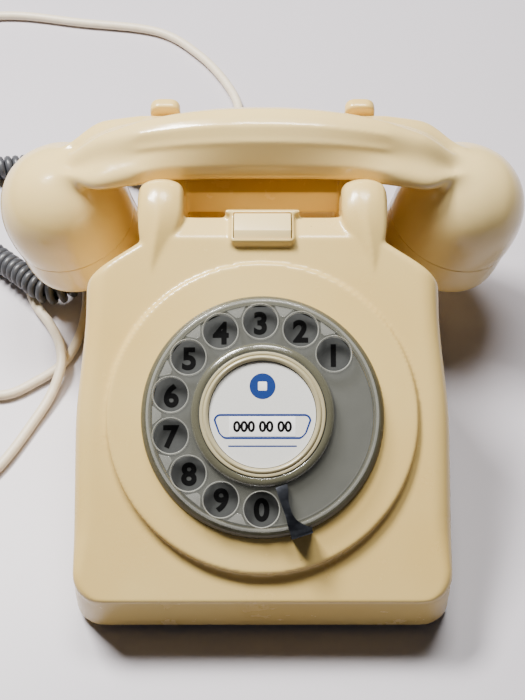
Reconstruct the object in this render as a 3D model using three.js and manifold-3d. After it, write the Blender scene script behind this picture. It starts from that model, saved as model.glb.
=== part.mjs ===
// Desk telephone with a rotary dial, as an assembly of separate bodies.
// Units are millimetres, +Z up, the front faces -Y, the feet stand on z = 0.
import * as THREE from 'three';
import { toCreasedNormals } from 'three/addons/utils/BufferGeometryUtils.js';
import Module from 'manifold-3d';

const wasm = await Module();
wasm.setup();
const { Manifold, Mesh: SolidMesh } = wasm;

// ---------- driving dimensions ----------
const CASE = {
  front: -107, rear: 107, bottom: 4, ridge: 33.4, lipY: 32.2, landY: 43, saddle: 99,
  halfFront: 82.5, halfRear: 86, cornerFront: 13, cornerRear: 20, wall: 2.8, skirtLean: 2,
};
const FACE_SLOPE = THREE.MathUtils.degToRad(27.8);
const LIP_Z = CASE.ridge + (CASE.lipY - CASE.front) * Math.tan(FACE_SLOPE);
const DIAL = { tilt: THREE.MathUtils.degToRad(26.3), y: -38.6, z: 73, hole: 40.5, plinth: 67 };
const WHEEL = { radius: 49.5, low: 5.4, high: 8, pitch: 39.9, hole: 7.3, lip: 8.1, hub: 30.6 };
const FIRST_HOLE = 40.4;
const HOLE_STEP = 25.45;
const STOP_ANGLE = 18.2;
const HORN_X = 45;
const HORN_LEAN = 3.5;
const WELL = { half: 35, front: 44, back: 100, floor: 67 };
const BAR = { front: 66, back: 84, low: 83, high: 97 };
const SET = {
  y: 82.5, half: 17.5, facet: 10, low: 104.6, crease: 125.7, top: 130, endX: 91.5, endZ: 59.5, tilt: 14,
};
const CAP_RADIUS = 30.5;
const FOOT = { radius: 8, height: 3.7, x: 62, front: -88, rear: 88 };
const PLATE = { low: 4, high: 6 };
const GAP = 0.3;
const GONG = { x: 31, y: 34, radius: 25, low: 15, high: 24 };
const LINE_GLAND = { x: -15, z: 14 };
const SET_GLAND = { x: -56, z: 14 };
const CORD_RADIUS = 2.5;
const CURL_RADIUS = 6.7;
const SPARE = { x: -188, y: -84, radius: 26, turns: 5 };
const BOOT = { at: [-103.1, 111.6, 64.2], way: [-0.3, 0.55, -0.78] };
const KEY = { y: 36.6, halfX: 12.5, halfY: 6.7, top: 110.6 };
const CASE_SCREW_X = 73;
const GOVERNOR_AT = [-24, -13, 0];
const IMPULSE_AT = [18.8, -21.4, 0];

// Share of the nominal segment count around every turned piece.
const DETAIL = 0.5;

// Middle of the telephone's footprint without its free cords: it becomes the origin.
const ORIGIN = { x: -0.35, y: 12.05 };

// ---------- cord routes ----------
const ON_TABLE = CORD_RADIUS + 0.15;
const OVER_CORD = 12.4; // centre height of the curly cord where it crosses the line cord

// The line cord leaves the rear gland, runs left behind the phone, passes the left side twice and
// ends in a coil beside the plug.
const LINE_ROUTE = [
  [LINE_GLAND.x, 133, LINE_GLAND.z], [-15, 141, 11.4], [-14.8, 149, 6.9], [-14.6, 157, ON_TABLE + 1],
  [-14.2, 169, ON_TABLE], [-13.6, 185, ON_TABLE], [-14, 212, ON_TABLE], [-21.5, 231, ON_TABLE],
  [-37, 253, ON_TABLE], [-60, 272, ON_TABLE], [-109, 281, ON_TABLE], [-160, 287, ON_TABLE],
  [-215, 270, ON_TABLE], [-250, 215, ON_TABLE], [-252, 140, ON_TABLE], [-225, 70, ON_TABLE],
  [-180, 30, ON_TABLE], [-129, 16, ON_TABLE], [-112, 24.5, ON_TABLE], [-100, 35, ON_TABLE],
  [-93.5, 50, ON_TABLE], [-91, 66, ON_TABLE], [-91.5, 81, ON_TABLE], [-94.4, 92.5, ON_TABLE],
  [-102, 100, ON_TABLE], [-111.5, 100.5, ON_TABLE], [-119, 94, ON_TABLE], [-121.3, 84, ON_TABLE],
  [-117.5, 72, ON_TABLE + 0.2], [-108, 57, ON_TABLE + 1.9], [-101.5, 42, 8.1], [-100, 30, 8],
  [-104, 16, ON_TABLE + 1.6], [-112, 0, ON_TABLE + 0.1], [-125, -23, ON_TABLE], [-141, -42, ON_TABLE],
  [-152.5, -61, ON_TABLE], [-156.4, -82, ON_TABLE],
];

// The curly cord hangs from the boot, turns under the left cap and comes back round to its gland.
const CURLY_ROUTE = [
  [-110.6, 125.4, 44.7], [-111.5, 127, 42.3], [-113, 129.3, 36], [-113.6, 128.6, 28.5],
  [-111.6, 123, 20.5], [-107.4, 112.5, 14.3], [-102.5, 103.5, OVER_CORD + 0.2], [-98.8, 94, OVER_CORD],
  [-97.1, 84, OVER_CORD], [-98.4, 77.3, OVER_CORD], [-102.1, 73.6, OVER_CORD], [-107.1, 72.3, OVER_CORD],
  [-111.6, 73.4, OVER_CORD], [-116, 76.6, OVER_CORD], [-121, 81.4, 11.8], [-130, 90, 9.5],
  [-140, 99.5, 7.2], [-155, 112, 7], [-173, 121, 7], [-184, 134, 7], [-178, 149, 7], [-160, 158, 7],
  [-138, 161.5, 7], [-115, 163, 7], [-95, 163, 7], [-76, 161.5, 7.6], [-63, 153.5, 9.8],
  [-57, 143, 12.8], [-56, 136, 13.8], [SET_GLAND.x, 131.4, SET_GLAND.z],
];

// ---------- colours ----------
const IVORY = 0xe6d9b4;
const STEEL = 0xa8abad;
const BRASS = 0xb59a56;
const BLACK = 0x1d1d1f;

const group = new THREE.Group();
group.name = 'rotary_telephone';

// ---------- small helpers ----------
function rad(degrees) {
  return THREE.MathUtils.degToRad(degrees);
}

function toSolid(geometry) {
  const source = geometry.index ? geometry.toNonIndexed() : geometry;
  const pos = source.attributes.position;
  const ids = new Map();
  const verts = [];
  const tris = [];
  for (let i = 0; i < pos.count; i++) {
    const p = [pos.getX(i), pos.getY(i), pos.getZ(i)];
    const key = p.map((v) => Math.round(v * 1e4)).join(',');
    if (!ids.has(key)) {
      ids.set(key, verts.length / 3);
      verts.push(...p);
    }
    tris.push(ids.get(key));
  }
  const kept = [];
  for (let i = 0; i < tris.length; i += 3) {
    const [a, b, c] = tris.slice(i, i + 3);
    if (a !== b && b !== c && a !== c) kept.push(a, b, c);
  }
  let solid = new Manifold(new SolidMesh({
    numProp: 3, vertProperties: Float32Array.from(verts), triVerts: Uint32Array.from(kept),
  }));
  if (solid.volume() < 0) {
    for (let i = 0; i < kept.length; i += 3) [kept[i], kept[i + 1]] = [kept[i + 1], kept[i]];
    solid = new Manifold(new SolidMesh({
      numProp: 3, vertProperties: Float32Array.from(verts), triVerts: Uint32Array.from(kept),
    }));
  }
  return solid;
}

function toGeometry(solid) {
  const mesh = solid.getMesh();
  const geometry = new THREE.BufferGeometry();
  const xyz = new Float32Array((mesh.vertProperties.length / mesh.numProp) * 3);
  for (let i = 0; i < xyz.length / 3; i++) {
    for (let k = 0; k < 3; k++) xyz[3 * i + k] = mesh.vertProperties[i * mesh.numProp + k];
  }
  geometry.setAttribute('position', new THREE.BufferAttribute(xyz, 3));
  geometry.setIndex(new THREE.BufferAttribute(new Uint32Array(mesh.triVerts), 1));
  return geometry;
}

function add(name, shape, color, roughness = 0.5, metalness = 0) {
  const raw = shape instanceof THREE.BufferGeometry ? shape : toGeometry(shape.simplify(0.005));
  const geometry = toCreasedNormals(raw, rad(32));
  const material = new THREE.MeshStandardMaterial({ color, roughness, metalness });
  geometry.translate(-ORIGIN.x, -ORIGIN.y, 0);
  const mesh = new THREE.Mesh(geometry, material);
  mesh.name = name;
  group.add(mesh);
  return mesh;
}

function box(x0, x1, y0, y1, z0, z1) {
  const g = new THREE.BoxGeometry(x1 - x0, y1 - y0, z1 - z0);
  g.translate((x0 + x1) / 2, (y0 + y1) / 2, (z0 + z1) / 2);
  return toSolid(g);
}

// Profile pairs are [radius, height]; the axis is Z.
function lathe(profile, segments = 40) {
  const outline = profile.map(([r, h]) => new THREE.Vector2(r, h));
  const g = new THREE.LatheGeometry(outline, Math.max(8, Math.round(segments * DETAIL)));
  g.rotateX(Math.PI / 2);
  return toSolid(g);
}

function disc(radius, z0, z1, segments = 40) {
  return lathe([[0, z0], [radius, z0], [radius, z1], [0, z1]], segments);
}

function ring(inner, outer, z0, z1, segments = 48) {
  return lathe([[inner, z0], [outer, z0], [outer, z1], [inner, z1], [inner, z0]], segments);
}

function roundedShape(halfX, halfY, radius) {
  const s = new THREE.Shape();
  s.moveTo(-halfX + radius, -halfY);
  s.lineTo(halfX - radius, -halfY);
  s.absarc(halfX - radius, -halfY + radius, radius, -Math.PI / 2, 0);
  s.lineTo(halfX, halfY - radius);
  s.absarc(halfX - radius, halfY - radius, radius, 0, Math.PI / 2);
  s.lineTo(-halfX + radius, halfY);
  s.absarc(-halfX + radius, halfY - radius, radius, Math.PI / 2, Math.PI);
  s.lineTo(-halfX, -halfY + radius);
  s.absarc(-halfX + radius, -halfY + radius, radius, Math.PI, 1.5 * Math.PI);
  return s;
}

// A rounded plate with softened edges, centred on x, y and standing from z0 to z1.
function pad(x, y, halfX, halfY, z0, z1, radius = 2, bevel = 0.4) {
  const shape = roundedShape(halfX - bevel, halfY - bevel, Math.max(radius - bevel, 0.2));
  const g = new THREE.ExtrudeGeometry(shape, {
    depth: z1 - z0 - 2 * bevel, bevelSize: bevel, bevelThickness: bevel, bevelSegments: 1, curveSegments: 4,
  });
  g.translate(x, y, z0 + bevel);
  return toSolid(g);
}

function extrude(points, depth, holes = []) {
  const shape = new THREE.Shape(points.map(([x, y]) => new THREE.Vector2(x, y)));
  for (const h of holes) shape.holes.push(h);
  return toSolid(new THREE.ExtrudeGeometry(shape, { depth, bevelEnabled: false, curveSegments: 8 }));
}

// Turns a solid so that its own Z axis points along X or Y, then moves it.
function along(axis, solid, x, y, z) {
  const turned = axis === 'x' ? solid.rotate([0, 90, 0]) : solid.rotate([-90, 0, 0]);
  return turned.translate([x, y, z]);
}

// Rings of equal length become one closed surface with fans on both ends.
function loft(rings, capZ) {
  const n = rings[0].length;
  const xyz = rings.flat().flatMap((p) => [p.x, p.y, p.z]);
  const index = [];
  for (let r = 0; r + 1 < rings.length; r++) {
    for (let i = 0; i < n; i++) {
      const a = r * n + i;
      const b = r * n + ((i + 1) % n);
      index.push(a, b, b + n, a, b + n, a + n);
    }
  }
  for (const [r, flip] of [[0, true], [rings.length - 1, false]]) {
    const mid = rings[r].reduce((sum, p) => sum.add(p), new THREE.Vector3()).divideScalar(n);
    if (capZ !== undefined) mid.z = capZ;
    const centre = xyz.length / 3;
    xyz.push(mid.x, mid.y, mid.z);
    for (let i = 0; i < n; i++) {
      const a = r * n + i;
      const b = r * n + ((i + 1) % n);
      index.push(...(flip ? [a, centre, b] : [a, b, centre]));
    }
  }
  const g = new THREE.BufferGeometry();
  g.setAttribute('position', new THREE.BufferAttribute(Float32Array.from(xyz), 3));
  g.setIndex(index);
  return toSolid(g);
}

function tube(points, radius, sides, steps) {
  const shape = new THREE.Shape();
  shape.absarc(0, 0, radius, 0, 2 * Math.PI);
  const through = points.map((p) => new THREE.Vector3(...p));
  const curve = new THREE.CatmullRomCurve3(through, false, 'centripetal');
  const ringPoints = shape.getSpacedPoints(sides).slice(0, sides);
  return new THREE.ExtrudeGeometry(new THREE.Shape(ringPoints), { steps, extrudePath: curve });
}

// Dial coordinates (x across, y up the face, z out of the face) to world.
function onDial(solid) {
  return solid.rotate([THREE.MathUtils.radToDeg(DIAL.tilt), 0, 0]).translate([0, DIAL.y, DIAL.z]);
}

function union(...solids) {
  return Manifold.union(solids);
}

// ---------- case ----------
function smooth(t) {
  const c = Math.min(Math.max(t, 0), 1);
  return c * c * (3 - 2 * c);
}

function caseTop(y) {
  const onFace = CASE.ridge + (y - CASE.front) * Math.tan(FACE_SLOPE);
  if (y < CASE.lipY) return Math.min(onFace, LIP_Z);
  const back = LIP_Z - (LIP_Z - CASE.saddle) * smooth((y - CASE.landY) / 6);
  const fall = Math.max(0, y - (CASE.rear - 7)) / 7;
  return back - 6 * (1 - Math.sqrt(1 - fall * fall * 0.98));
}

function cornerLoss(distance, radius) {
  if (distance >= radius) return 0;
  return radius - Math.sqrt(radius * radius - (radius - distance) ** 2);
}

function caseRing(y) {
  const frontLoss = cornerLoss(y - CASE.front, CASE.cornerFront);
  const loss = frontLoss + cornerLoss(CASE.rear - y, CASE.cornerRear);
  const along01 = (y - CASE.front) / (CASE.rear - CASE.front);
  const low = CASE.halfFront + (CASE.halfRear - CASE.halfFront) * Math.min(1, along01 * 1.2) - loss;
  const shoulder = 81.5 - 4 * smooth((y + 40) / 50) - 24.5 * smooth((y - 17) / 22);
  const high = shoulder - frontLoss - cornerLoss(CASE.rear - y, 6);
  const narrow = smooth((y - 14) / 34);
  const top = caseTop(y);
  const r = Math.min(9, 2 + (y - CASE.front) * 0.25) + 5 * smooth((y - 10) / 30);
  const sideZ = Math.min(20, top - r);
  const mix = (a, b) => a + (b - a) * narrow;
  const half = [[low, CASE.bottom], [low - 0.6, sideZ],
    [mix(low - 0.6 + (high - low) * 0.3, low - 3), mix(sideZ + (top - r - sideZ) * 0.3, 33)],
    [mix(low - 0.6 + (high - low) * 0.6, high + 5), mix(sideZ + (top - r - sideZ) * 0.6, 37)],
    [mix(low - 0.6 + (high - low) * 0.8, high + 0.4), mix(sideZ + (top - r - sideZ) * 0.8, 44)],
  ].map(([x, z]) => new THREE.Vector3(x, y, z));
  for (let i = 0; i <= 6; i++) {
    const a = (i / 6) * (Math.PI / 2);
    half.push(new THREE.Vector3(high - r + r * Math.cos(a), y, top - r + r * Math.sin(a)));
  }
  for (const f of [0.66, 0.33]) half.push(new THREE.Vector3((high - r) * f, y, top));
  const mirrored = half.map((p) => new THREE.Vector3(-p.x, p.y, p.z)).reverse();
  return [...half, new THREE.Vector3(0, y, top), ...mirrored];
}

function caseRings() {
  const stations = [-107, -106.6, -105.5, -103.5, -100.5, -97, -93, -60, -40, -18, 2, 8, 14, 20, 26,
    29.5, 32.2, 37, 43, 44.5, 46, 47.5, 49, 60, 75, 87, 92, 96, 100, 102, 104, 105.5, 106.5, 107];
  const rings = stations.map(caseRing);
  for (const p of rings.flat()) {
    p.y += CASE.skirtLean * smooth((-90 - p.y) / 17) * (1 - Math.min(p.z / CASE.ridge, 1));
  }
  return rings;
}

function frontHorn(x) {
  // [y, half width, shoulder height, ridge height]
  const stations = [
    [18.5, 0.6, 99.2, 99.8], [24, 3.4, 102, 103.8], [30, 6.2, 105, 108], [36, 8.6, 108.2, 111.6],
    [42, 9.8, 110.6, 114.2], [48, 10.2, 111.6, 115.8], [54, 10.2, 111.6, 116.2], [58, 9.8, 110, 115],
    [61, 9, 107, 112], [62.6, 8.2, 103.5, 107.5],
  ];
  return loft(stations.map(([y, w, zs, zp]) => {
    const mid = x + Math.sign(x) * HORN_LEAN * (1 - smooth((y - 18) / 26));
    const side = [[w, 93], [w, zs - 2], [w * 0.97, zs - 0.5], [w * 0.84, zs + (zp - zs) * 0.45],
      [w * 0.55, zs + (zp - zs) * 0.8], [w * 0.2, zp - 0.15]];
    const right = side.map(([dx, z]) => new THREE.Vector3(mid + dx, y, z));
    const left = side.map(([dx, z]) => new THREE.Vector3(mid - dx, y, z)).reverse();
    return [...right, ...left];
  }));
}

function rearHorn(x) {
  const post = new THREE.ExtrudeGeometry(roundedShape(6, 13, 3.4), {
    depth: 3.8, bevelSize: 0.9, bevelThickness: 0.9, bevelSegments: 2, curveSegments: 4,
  });
  post.rotateX(Math.PI / 2);
  post.translate(x, 106.4, 103);
  return toSolid(post);
}

// Every second ring of the case, moved inwards by the wall thickness and open below.
function innerRings(rings) {
  const kept = rings.filter((ring, i) => i < 5 || i > rings.length - 4 || i % 2 === 0);
  const shrinkX = 1 - CASE.wall / 80;
  const shrinkY = 1 - CASE.wall / CASE.rear;
  return kept.map((ring) => ring.map((p) => {
    const x = p.x * shrinkX - Math.sign(p.x) * (Math.abs(p.x) < 60 ? 0.8 : 0);
    const z = p.z < 5 ? CASE.bottom - 10 : p.z - CASE.wall - 0.4;
    return new THREE.Vector3(x, p.y * shrinkY, z);
  }));
}

function caseShell() {
  const rings = caseRings();
  let outer = loft(rings, 20);
  const { plinth: r } = DIAL;
  const plinth = lathe([[0, -14], [r + 0.8, -14], [r, -0.7], [r - 0.8, 0], [0, 0]], 72);
  outer = union(outer, onDial(plinth), frontHorn(-HORN_X), frontHorn(HORN_X),
    rearHorn(-HORN_X), rearHorn(HORN_X));
  outer = union(outer, pad(0, KEY.y, KEY.halfX + 1.4, KEY.halfY + 1.5, 98, 109.2, 1.6, 0.4));
  const middle = (WELL.front + WELL.back) / 2;
  const well = pad(0, middle, WELL.half, (WELL.back - WELL.front) / 2, WELL.floor, 130, 6);
  const bar = box(-WELL.half - 2, WELL.half + 2, BAR.front, BAR.back, BAR.low, BAR.high);
  const ears = pad(0, KEY.y + 8, KEY.halfX + 3.9, 1.1, 98, 110.2, 0.9, 0.3);
  outer = union(outer.subtract(well), bar, ears);
  const across = WELL.half + CASE.wall;
  const wellWalls = box(-across, across, WELL.front - CASE.wall, 110, WELL.floor - CASE.wall, 130);
  const inner = loft(innerRings(rings), 18).subtract(wellWalls);
  let shell = outer.subtract(inner);
  for (const side of [-1, 1]) {
    const bossX = side * (CASE_SCREW_X + 2.5);
    const boss = box(bossX - 7.5, bossX + 7.5, -6, 6, 9, 22);
    shell = union(shell, boss).subtract(disc(1.9, 0, 18, 20).translate([side * CASE_SCREW_X, 0, 0]));
    shell = shell.subtract(disc(4.1, 80, 110, 24).translate([side * HORN_X, 81, 0]));
  }
  shell = shell.subtract(onDial(disc(DIAL.hole, -60, 5, 60)));
  shell = shell.subtract(pad(0, KEY.y, KEY.halfX + 0.4, KEY.halfY + 0.5, 80, 120, 0.7, 0.1));
  for (const gland of [LINE_GLAND, SET_GLAND]) {
    shell = shell.subtract(along('y', disc(5.3, 0, 20, 24), gland.x, 95, gland.z));
  }
  return shell;
}

// ---------- base ----------
function basePlate() {
  const edge = [[-68, -99.5], [68, -99.5], [75.5, -90], [81.5, 60], [81.5, 84], [68, 99], [-68, 99],
    [-81.5, 84], [-81.5, 60], [-75.5, -90]];
  let plate = extrude(edge, PLATE.high - PLATE.low).translate([0, 0, PLATE.low]);
  for (const side of [-1, 1]) {
    plate = plate.subtract(disc(2.4, 0, 10, 20).translate([side * CASE_SCREW_X, 0, 0]));
    for (const y of [-90, -52]) {
      plate = union(plate, disc(2.6, 5, 11.7, 16).translate([side * 52, y, 0]));
    }
  }
  return plate;
}

function foot(x, y) {
  const { radius: r, height: h } = FOOT;
  return lathe([[0, 0], [r - 1.2, 0], [r, 1], [r, h], [0, h]], 32).translate([x, y, 0]);
}

function caseScrew(x) {
  const body = lathe([[0, 1.6], [2.6, 1.6], [3.4, 2.3], [3.4, 3.7], [1.5, 3.7], [1.5, 16], [0, 17]], 24);
  return body.subtract(box(-3.6, 3.6, -0.5, 0.5, 1, 2.5)).translate([x, 0, 0]);
}

// ---------- dial ----------
// Centre of one finger hole in dial coordinates, counted from the right.
function holeAt(i) {
  const angle = rad(FIRST_HOLE + i * HOLE_STEP);
  return [WHEEL.pitch * Math.cos(angle), WHEEL.pitch * Math.sin(angle), 0];
}

function fingerWheel() {
  const { radius, low, high, hub } = WHEEL;
  let wheel = lathe([[23.4, low], [radius - 1.6, low], [radius - 1.6, low - 1.2], [radius, low - 1.2],
    [radius, high - 0.5], [radius - 0.5, high], [radius - 2.6, high], [radius - 3, high - 0.5],
    [hub + 0.4, high - 0.5], [hub - 0.6, high + 1.4], [27, high + 1.8], [27, high - 0.4],
    [23.4, high - 0.4], [23.4, low]], 96);
  for (let i = 0; i < 10; i++) {
    wheel = union(wheel, disc(WHEEL.lip, low, high + 0.4, 26).translate(holeAt(i)));
  }
  for (let i = 0; i < 10; i++) {
    wheel = wheel.subtract(disc(WHEEL.hole, low - 2, high + 2, 26).translate(holeAt(i)));
  }
  return wheel;
}

function numberPlate() {
  return lathe([[9, 0.6], [47, 0.6], [47.4, 1], [47.4, 2.2], [47, 2.6], [9, 2.6], [9, 0.6]], 72);
}

function dialRim() {
  return lathe([[47.8, 0.4], [52.2, 0.4], [51.6, 1.6], [50.6, 2.4], [50.6, 3.4], [47.8, 3.4],
    [47.8, 0.4]], 72);
}

function fingerStop() {
  const blade = [[5.5, -30.9], [10.3, -29.2], [10.8, -32], [11, -36.9], [12.5, -41.6], [14.2, -44.2],
    [17.2, -46], [20.8, -47.6], [20.6, -48.4], [12.4, -51], [11, -48.3], [9.6, -42.7], [7.2, -36.3]];
  const arm = extrude(blade, 1.2).translate([0, 0, 8.9]);
  const drop = box(-4.6, 4.6, -53.7, -52.5, 0.4, 10.1);
  const link = box(-4.6, 4.6, -53.7, -51, 8.9, 10.1);
  return union(arm, union(drop, link).rotate([0, 0, STOP_ANGLE]));
}

function dialPlate() {
  let plate = disc(37, -4, -2.4, 48);
  for (const [x, y] of [[28, 16], [-28, 16], [0, -32]]) {
    plate = union(plate, disc(2.4, -3, 0.3, 16).translate([x, y, 0]));
    plate = union(plate, disc(2.2, -19, -3, 16).translate([x * 0.95, y * 0.95, 0]));
  }
  return plate.subtract(disc(3.4, -9, 2, 24)).subtract(disc(2.2, -9, 2, 16).translate(IMPULSE_AT));
}

function gear(radius, teeth, z0, z1, bore) {
  const points = [];
  for (let i = 0; i < teeth * 2; i++) {
    const r = i % 2 ? radius - 1.3 : radius;
    const a = (i / (teeth * 2)) * 2 * Math.PI;
    const d = 0.28 * (Math.PI / teeth);
    points.push([r * Math.cos(a - d), r * Math.sin(a - d)], [r * Math.cos(a + d), r * Math.sin(a + d)]);
  }
  return extrude(points, z1 - z0).translate([0, 0, z0]).subtract(disc(bore, z0 - 1, z1 + 1, 20));
}

function buildDial() {
  add('number_plate', onDial(numberPlate()), 0x8d8f8e, 0.6);
  add('dial_rim', onDial(dialRim()), 0x8f8b72, 0.35);
  add('finger_stop', onDial(fingerStop()), 0x4b5762, 0.35, 0.9);
  add('dial_plate', onDial(dialPlate()), STEEL, 0.4, 0.9);
  add('finger_wheel', onDial(fingerWheel()), 0xb5b7ae, 0.12);
  const hubRing = lathe([[22.9, 8], [26.7, 8], [26.7, 9.7], [25.8, 10.4], [23.4, 10.2], [22.9, 9.6],
    [22.9, 8]], 60);
  add('hub_ring', onDial(hubRing), 0xd8cfa8, 0.35);
  add('label_card', onDial(disc(22.6, 8, 8.5, 48)), 0xeeeae0, 0.75);
  const boss = lathe([[2.8, 3], [8, 3], [8, 5], [23.1, 5], [23.1, 7.7], [2.8, 7.7], [2.8, 3]], 48);
  add('hub_boss', onDial(boss), 0xb8ad84, 0.4);
  add('dial_spindle', onDial(lathe([[0, -20], [2.4, -20], [2.4, 7.4], [0, 7.4]], 24)), STEEL, 0.3, 1);
  add('main_gear', onDial(gear(19, 26, -8.4, -6.6, 2.7)), BRASS, 0.35, 0.9);
  add('spring_drum', onDial(ring(2.7, 12, -14.6, -8.8, 36)), STEEL, 0.35, 0.9);
  const impulse = union(gear(8.6, 12, -8.4, -6.6, 0.1), disc(1.6, -19, -2.2, 16), disc(5, -13, -10.6, 24));
  add('impulse_wheel', onDial(impulse.translate(IMPULSE_AT)), BRASS, 0.35, 0.9);
  const weights = box(-8, 8, -1.3, 1.3, -12.4, -10.2);
  const rotor = union(disc(1.2, -12, -4.6, 16), disc(4.4, -10.4, -9, 24), weights);
  add('governor_rotor', onDial(rotor.translate(GOVERNOR_AT)), BRASS, 0.4, 0.9);
  const cup = union(ring(9.6, 11, -17.4, -8.6, 36), disc(10.4, -18.2, -17.2, 36));
  add('governor_cup', onDial(cup.translate(GOVERNOR_AT)), STEEL, 0.4, 0.9);
  const blades = [-5, 4].map((x) => box(x, x + 1, 20, 24, -11, -6));
  add('pulse_contacts', onDial(union(box(-6, 6, 22, 31, -12, -4.3), ...blades)), 0x8a5a34, 0.5);
}

// ---------- recall button ----------
function buildButton() {
  const { y, halfX, halfY, top } = KEY;
  const profile = [[-halfY, 100], [halfY, 100], [halfY, top - 0.8], [halfY - 0.9, top], [-3.4, top],
    [-halfY, top - 2.4]];
  const key = extrude(profile, 2 * halfX).rotate([90, 0, 90]).translate([-halfX, y, 0]);
  const stem = box(-3, 3, 34, 39, 88, 101);
  add('recall_key', union(key, stem), 0xe2d5ae, 0.35);
  const body = box(-11, 11, 30, 40.4, 76, 84).subtract(box(-3.4, 3.4, 33.6, 39.4, 82, 90));
  const blades = union(box(-8, -7, 33, 38, 68, 77), box(7, 8, 33, 38, 68, 77));
  add('recall_switch', union(body, blades), 0x2c2c2e, 0.6);
}

// ---------- hook switch ----------
function buildHookSwitch() {
  const frame = union(box(-29, -26, 61, 80, 6.3, 54.6), box(-40, -26, 61, 80, 6.3, 8.3));
  add('hook_frame', frame.subtract(along('x', disc(2, 0, 20, 20), -40, 64, 52)), STEEL, 0.4, 0.9);
  const rod = along('x', disc(1.5, 0, 13, 16), -34, 64, 52);
  const bar = box(-48, 48, 62, 66, 55.5, 58.5);
  const lugs = [[-34, -31], [-24, -21]].map(([x0, x1]) => box(x0, x1, 62.4, 65.6, 50.5, 56));
  const arms = [-1, 1].map((s) => box(s * HORN_X - 3, s * HORN_X + 3, 63, 86, 56, 58.5));
  add('hook_lever', union(rod, bar, ...lugs, ...arms), STEEL, 0.4, 0.9);
  const leaves = [0, 1, 2].map((i) => box(-36, -31, 70, 90, 38 + i * 3.2, 38.8 + i * 3.2));
  add('hook_contacts', union(box(-38, -29.3, 68, 76, 36, 48), ...leaves), 0x8a5a34, 0.5);
  for (const [side, name] of [[-1, 'plunger_left'], [1, 'plunger_right']]) {
    const pin = lathe([[0, 58.9], [3.4, 58.9], [3.4, 100], [3, 101.9], [2, 102.7], [0, 102.7]], 24);
    add(name, pin.translate([side * HORN_X, 81, 0]), 0xe9e2cc, 0.4);
  }
}

// ---------- ringer ----------
function gong(x) {
  const { radius: r, low, high } = GONG;
  return lathe([[2.6, high - 1.2], [r - 8, high - 1.2], [r - 2.4, high - 4.4], [r - 1.2, low], [r, low],
    [r - 1.2, high - 3.6], [r - 7.6, high], [2.6, high], [2.6, high - 1.2]], 48).translate([x, GONG.y, 0]);
}

function gongScrew(x) {
  const profile = [[0, 8.8], [2.2, 8.8], [2.2, 24.3], [4, 24.3], [4, 26], [3.2, 26.8], [0, 26.8]];
  return lathe(profile, 24).translate([x, GONG.y, 0]);
}

function buildRinger() {
  const base = union(box(-40, 40, 26, 42, 6.3, 8.4), box(-22, 22, 42, 92, 6.3, 8.4));
  const frame = union(base, box(-22, 22, 90, 93, 8, 30), disc(2, 8, 13, 16).translate([0, 60, 0]));
  add('ringer_frame', frame, STEEL, 0.45, 0.9);
  for (const [side, name] of [[-1, 'ringer_coil_left'], [1, 'ringer_coil_right']]) {
    const spool = [disc(8, 0, 1.4, 32), disc(7, 1.4, 20, 32), disc(8, 20, 21.4, 32)];
    const bobbin = union(...spool, disc(2.4, -1.6, 22, 16));
    add(name, along('y', bobbin, side * 12, 67.6, 21), 0x7d3c28, 0.55);
  }
  for (const [side, name] of [[-1, 'left'], [1, 'right']]) {
    add(`gong_${name}`, gong(side * GONG.x), BRASS, 0.3, 1);
    add(`gong_screw_${name}`, gongScrew(side * GONG.x), STEEL, 0.3, 1);
  }
  const yoke = union(box(-18, 18, 58.4, 62, 15, 27), disc(4, 13.4, 15.2, 20).translate([0, 60.2, 0]));
  const rod = box(-0.8, 0.8, 35, 59, 17.2, 18.8);
  const ball = new THREE.SphereGeometry(3, 12, 8);
  ball.translate(0, 34, 18);
  add('hammer', union(yoke, rod, toSolid(ball)), STEEL, 0.4, 0.9);
}

// ---------- circuit ----------
function buildCircuit() {
  add('circuit_board', box(-60, 60, -98, -46, 12, 13.6), 0x6f5a2c, 0.6);
  const cheeks = [box(16, 46, -84, -60, 13.9, 16), box(16, 46, -84, -60, 29, 31)];
  add('induction_coil', union(...cheeks, box(20, 42, -80, -64, 15, 30)), 0x5a4a38, 0.6);
  add('capacitor', pad(-22, -72, 14, 9, 13.9, 28, 1.5), 0x9aa0a5, 0.4, 0.6);
  const screws = [0, 1, 2, 3].map((i) => disc(2.4, 17, 20, 16).translate([-50, -85 + i * 8.6, 0]));
  add('terminal_block', union(box(-58, -42, -90, -54, 13.9, 18), ...screws), 0x303033, 0.55);
}

// ---------- handset ----------
function gripRing(x) {
  const t = Math.abs(x) / 96;
  const drop = 24 * Math.pow(t, 2.2) + 7 * smooth((Math.abs(x) - 72) / 24);
  const wide = SET.half + 4 * smooth((Math.abs(x) - 40) / 34) - 13 * smooth((Math.abs(x) - 74) / 22);
  const top = SET.top - drop;
  const crease = SET.crease - drop;
  const low = SET.low - 12 * Math.pow(t, 3);
  const facet = SET.facet - 6 * t * t;
  const half = [[wide * 0.7, low], [wide * 0.93, low + 1.4], [wide, low + 5], [wide * 0.9, low + 10],
    [facet + 1.6, crease - 3], [facet + 0.6, crease - 0.9], [facet - 0.8, crease], [facet * 0.5, top - 0.5]];
  const front = half.map(([d, z]) => new THREE.Vector3(x, SET.y - d, z));
  const back = half.map(([d, z]) => new THREE.Vector3(x, SET.y + d, z)).reverse();
  return [...front, new THREE.Vector3(x, SET.y, top), ...back, new THREE.Vector3(x, SET.y, low - 0.3)];
}

// Turns a solid so that its own Z axis points along the given direction from a point.
function aim(solid, at, way) {
  const turn = new THREE.Quaternion().setFromUnitVectors(
    new THREE.Vector3(0, 0, 1), new THREE.Vector3(...way).normalize());
  const place = new THREE.Matrix4().compose(new THREE.Vector3(...at), turn, new THREE.Vector3(1, 1, 1));
  return solid.transform(place.elements);
}

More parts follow.
